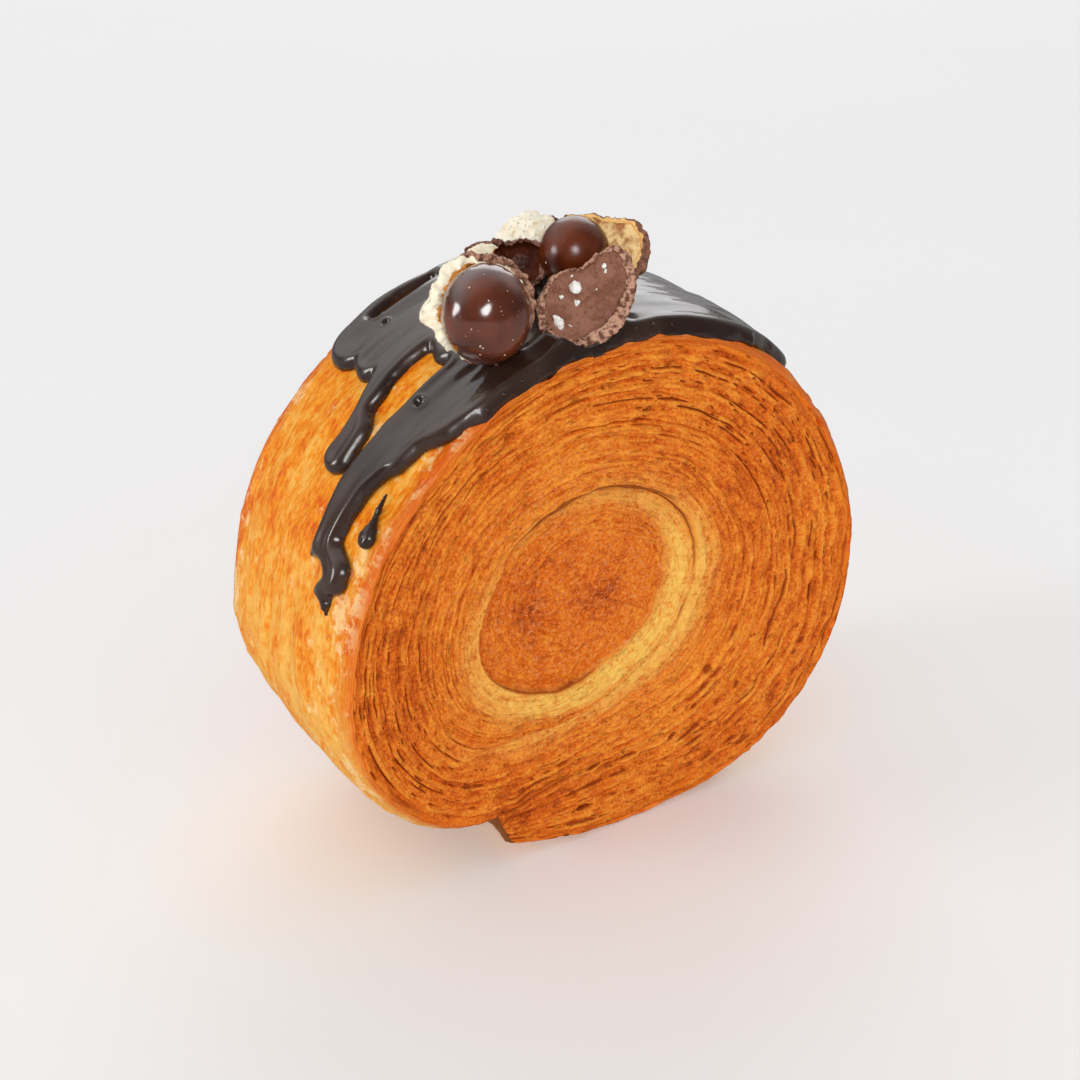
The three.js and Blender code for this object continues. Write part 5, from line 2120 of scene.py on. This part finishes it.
@dataclass
class Toppings:
    """The broken balls on top of the roll."""

    shape: CoilShape
    groups: Groups
    tree: Tree
    speck_count: int = 40
    feet: list[Foot] = field(default_factory=list)

    def placed(self, placing: Placing, size: Triple, hollow: bool = False) -> Matrix:
        """A topping's frame. The glaze is told to climb its foot.

        Args:
            placing: Where it stands.
            size: Its half sizes.
            hollow: True for an open shell.

        Returns:
            The topping's frame in the part's.
        """
        matrix = placing.matrix(self.shape.axis_height)
        self.feet.append(Foot(matrix, size, hollow))
        return matrix

    def build(self) -> list[Foot]:
        """Makes them all, and gives the places where the glaze climbs them.

        Returns:
            The feet, one for each topping.
        """
        glossy = ChocolateFinish(self.groups).build("polished_chocolate")
        wafer = WaferFinish(self.groups).build("dry_wafer")
        self.front_ball(glossy)
        self.half_shell()
        self.back_ball(ChocolateFinish(self.groups, gloss=0.35).build("satin_chocolate"))
        self.shard()
        chunk = self.placed(Placing((-0.4, 57.7, 5.4), (20, 0)), (5.2, 5.2, 4.6))
        lump = Lump((6.0, 5.1, 4.7), rough=0.27, grain=3.2, fine=0.35, coat_from=0.45, seed=220)
        settle(lump.build("wafer_lump", chunk, wafer), Slot.WAFER, "wafer_chunk")
        return self.feet

    def front_ball(self, glossy: Finish) -> None:
        """The ball at the front, in what is left of its shell.

        Args:
            glossy: The ball's chocolate.
        """
        seat = self.placed(Placing((20.6, 60, -15.7), (38, 12)), (7.6, 7.6, 7.6))
        radii = (6.9, 7.6, 6.9)
        dome = Lump(radii, rough=0.03, grain=6.0).build("front_dome", seat, glossy)
        settle(dome, Slot.GLOSSY, "front_ball")
        cup = BrokenShell(
            (8.1, 8.1, 7.6), offset=(-0.85, 0.75, -1.0), ragged=6, rough=0.35, chips=0.075, seed=101,
            mouth=((0, 90), (60, 86), (100, 84), (150, 70), (180, 66), (225, 74), (265, 96), (300, 104),
                   (360, 90)),
            outline=((0, 1), (50, 1), (90, 1.02), (130, 1), (170, 1), (192, 1.1), (206, 0.98), (360, 1)),
            wall=((0, 2), (60, 2), (110, 2.1), (150, 2.5), (190, 2.8), (230, 2.2), (270, 1.6), (360, 2)),
            wafer=((0, 0.5), (60, 0.5), (95, 0.46), (106, 0.4), (118, -0.3), (240, -0.3), (270, 0.5),
                   (360, 0.5)),
        )
        finish = ShellFinish(
            self.groups, inside=srgb(226, 150, 66), shade=srgb(196, 116, 48), lining_from=0.62, pores=0.15
        )
        finish = finish.build("front_shell_wall")
        at = seat @ Matrix.Rotation(math.radians(-8), 4, "X")
        settle(cup.build("front_cup", at, finish), Slot.WAFER, "front_ball")
        random = np.random.default_rng(5)
        specks = []
        for _ in range(self.speck_count):
            direction = Vector((random.normal(), random.normal(), abs(random.normal()) + 0.4)).normalized()
            place = seat @ Vector([r * d for r, d in zip(radii, direction)])
            facing = seat.to_3x3() @ direction
            specks.append(Bit(tuple(place), tuple(facing), float(0.05 + 0.14 * random.random() ** 2)))
        finish = PlainFinish(self.groups, srgb(206, 178, 150)).build("pale_specks")
        piece = Scatter(self.tree, (1, 0.8, 0.5), 0.1, 3).build("front_specks", specks, finish)
        settle(piece, Slot.WAFER)

    def half_shell(self) -> None:
        """The open half shell with white crumbs in it."""
        seat = self.placed(Placing((5.0, 56.8, -18.65), (34, 27), -30), (6.7, 9.0, 4.4), hollow=True)
        shell = BrokenShell(
            (6.7, 9.0, 4.0), ragged=4, rough=0.28, ledge=0.7, hollow=0.72, seed=111,
            mouth=((0, 86), (100, 88), (150, 96), (180, 88), (270, 84), (360, 86)),
            outline=((0, 1), (40, 1), (75, 1.03), (95, 0.99), (112, 0.82), (128, 0.68), (145, 0.63),
                     (162, 0.78), (180, 0.96), (205, 1.04), (240, 1.02), (270, 1), (300, 0.96), (330, 0.98),
                     (360, 1)),
            wall=((0, 2.2), (60, 1.4), (100, 0.8), (180, 0.7), (220, 1.1), (260, 1.7), (320, 2.3),
                  (360, 2.2)),
        )
        finish = ShellFinish(
            self.groups, coat=srgb(108, 64, 46), edge=srgb(204, 156, 130), inside=srgb(158, 108, 86),
            shade=srgb(134, 84, 64), pores=0.6,
        ).build("cocoa_shell_wall")
        settle(shell.build("half_cup", seat, finish), Slot.MATTE, "half_shell")
        crumbs = []
        spots = (
            (-2.5, 0.5, 1.05), (-1.9, -5.4, 0.8), (-2.6, -5.0, 0.5), (-1.2, -5.9, 0.45), (-1.1, -1.2, 0.42),
            (-0.4, 5.6, 0.4), (0.2, 5.1, 0.25), (0.9, -3.8, 0.45), (-3.6, -1.9, 0.35), (1.8, -2.4, 0.25),
            (2.4, -4.0, 0.3), (-0.2, -4.9, 0.3), (1.5, 0.8, 0.2), (-3.9, 1.8, 0.2), (0.3, 1.9, 0.16),
        )
        hollow_x, hollow_y, hollow_depth = 5.3, 7.6, 2.6
        for x, y, size in spots:
            inside = 1 - (x / hollow_x) ** 2 - (y / hollow_y) ** 2
            z = -shell.hollow * hollow_depth * math.sqrt(max(inside, 0.0)) + 0.25 * size
            facing = seat.to_3x3() @ Vector((0.0, 0.0, 1.0))
            crumbs.append(Bit(tuple(seat @ Vector((x, y, z))), tuple(facing), size))
        finish = PlainFinish(self.groups, srgb(255, 252, 246), 0.7, 0.95).build("white_crumbs")
        piece = Scatter(self.tree, (1, 0.85, 0.6), 1.1, 8).build("shell_crumbs", crumbs, finish)
        settle(piece, Slot.WAFER)

    def back_ball(self, glossy: Finish) -> None:
        """The ball at the back with a golden piece of its shell at the right.

        Args:
            glossy: The ball's chocolate.
        """
        seat = self.placed(Placing((-0.6, 59.3, -6.2), (32, 28)), (5.8, 5.8, 5.8))
        ball = Lump((5.7, 5.8, 5.8), rough=0.02, grain=5.0, seed=210).build("back_dome", seat, glossy)
        settle(ball, Slot.GLOSSY, "back_ball")
        at = seat @ Matrix.Translation((4.5, 0.5, 1.6)) @ Matrix.Rotation(math.radians(-16), 4, "X")
        piece = BrokenShell(
            (6.7, 6.5, 5.4), hollow=0.06, ragged=4, rough=0.3, chips=0.03, seed=121,
            mouth=((0, 84), (90, 86), (180, 84), (270, 84), (360, 84)),
            outline=((0, 1.08), (18, 1.1), (38, 1.1), (62, 0.82), (90, 0.8), (122, 1.03), (138, 1.2),
                     (160, 0.95), (200, 1.0), (270, 1.12), (330, 1.14), (360, 1.08)),
            wall=((0, 1.5), (90, 1.0), (360, 1.5)),
            wafer=((0, 0.7), (30, 0.6), (50, 0.2), (150, 0.2), (180, 0.7), (360, 0.7)),
        )
        finish = ShellFinish(
            self.groups, coat=srgb(104, 68, 52), cream=srgb(246, 196, 124), lining=srgb(236, 176, 98),
            inside=srgb(246, 210, 146), shade=srgb(168, 98, 46), edge=srgb(150, 100, 74), lining_from=0.9,
            pores=0.3,
        )
        settle(piece.build("back_cup", at, finish.build("golden_shell_wall")), Slot.WAFER, "back_ball")

    def shard(self) -> None:
        """The dark curved piece between the balls."""
        seat = self.placed(Placing((7.9, 58.6, -1.4), (25, 22)), (5.6, 5.2, 4.4), hollow=True)
        shard = BrokenShell(
            (5.6, 5.3, 4.4), ragged=8, rough=0.3, hollow=0.85, chips=0.08, seed=131,
            mouth=((0, 84), (60, 84), (80, 76), (105, 92), (125, 78), (150, 88), (180, 76), (225, 84),
                   (360, 84)),
            outline=((0, 0.98), (25, 1.06), (45, 0.84), (70, 0.68), (90, 0.66), (115, 0.7), (135, 0.9),
                     (152, 1.25), (165, 1.4), (185, 1.3), (210, 1.1), (360, 0.98)),
            wall=((0, 0.8), (60, 0.8), (120, 1.3), (150, 2.6), (185, 3.4), (210, 1.4), (360, 0.8)),
            wafer=((0, 2), (126, 2), (136, 0.3), (170, 0.0), (215, 0.0), (235, 2), (360, 2)),
        )
        finish = ShellFinish(
            self.groups, coat=srgb(72, 34, 22), edge=srgb(146, 102, 84), inside=srgb(92, 42, 24),
            shade=srgb(70, 30, 18), roughness=0.3, pores=0.1,
        ).build("dark_shell_wall")
        settle(shard.build("dark_shard", seat, finish), Slot.MATTE, "shell_shard")


def main() -> None:
    """Builds the scene: the roll, its toppings, the glaze round them, and the studio."""
    logging.basicConfig(level=logging.INFO, format="%(name)s: %(message)s")
    shape = CoilShape()
    groups = Groups(streak_group(), grain_group())
    studio = Studio()
    studio.camera()
    studio.light()
    studio.floor()
    build_roll(shape, groups)
    tree = scatter_tree()
    feet = Toppings(shape, groups, tree).build()
    skin = GlazeSkin(shape, feet=feet)
    glaze = GlazeFinish(groups).build("set_glaze")
    pour, drop = skin.build_all(glaze)
    settle(Scatter(tree, (1, 0.8, 0.6), 0.1, 6).build("glaze_glints", skin.beads(), glaze), Slot.GLAZE)
    settle(pour, Slot.GLAZE, "chocolate_glaze")
    settle(drop, Slot.GLAZE, "glaze_droplet")


if __name__ == "__main__":
    main()
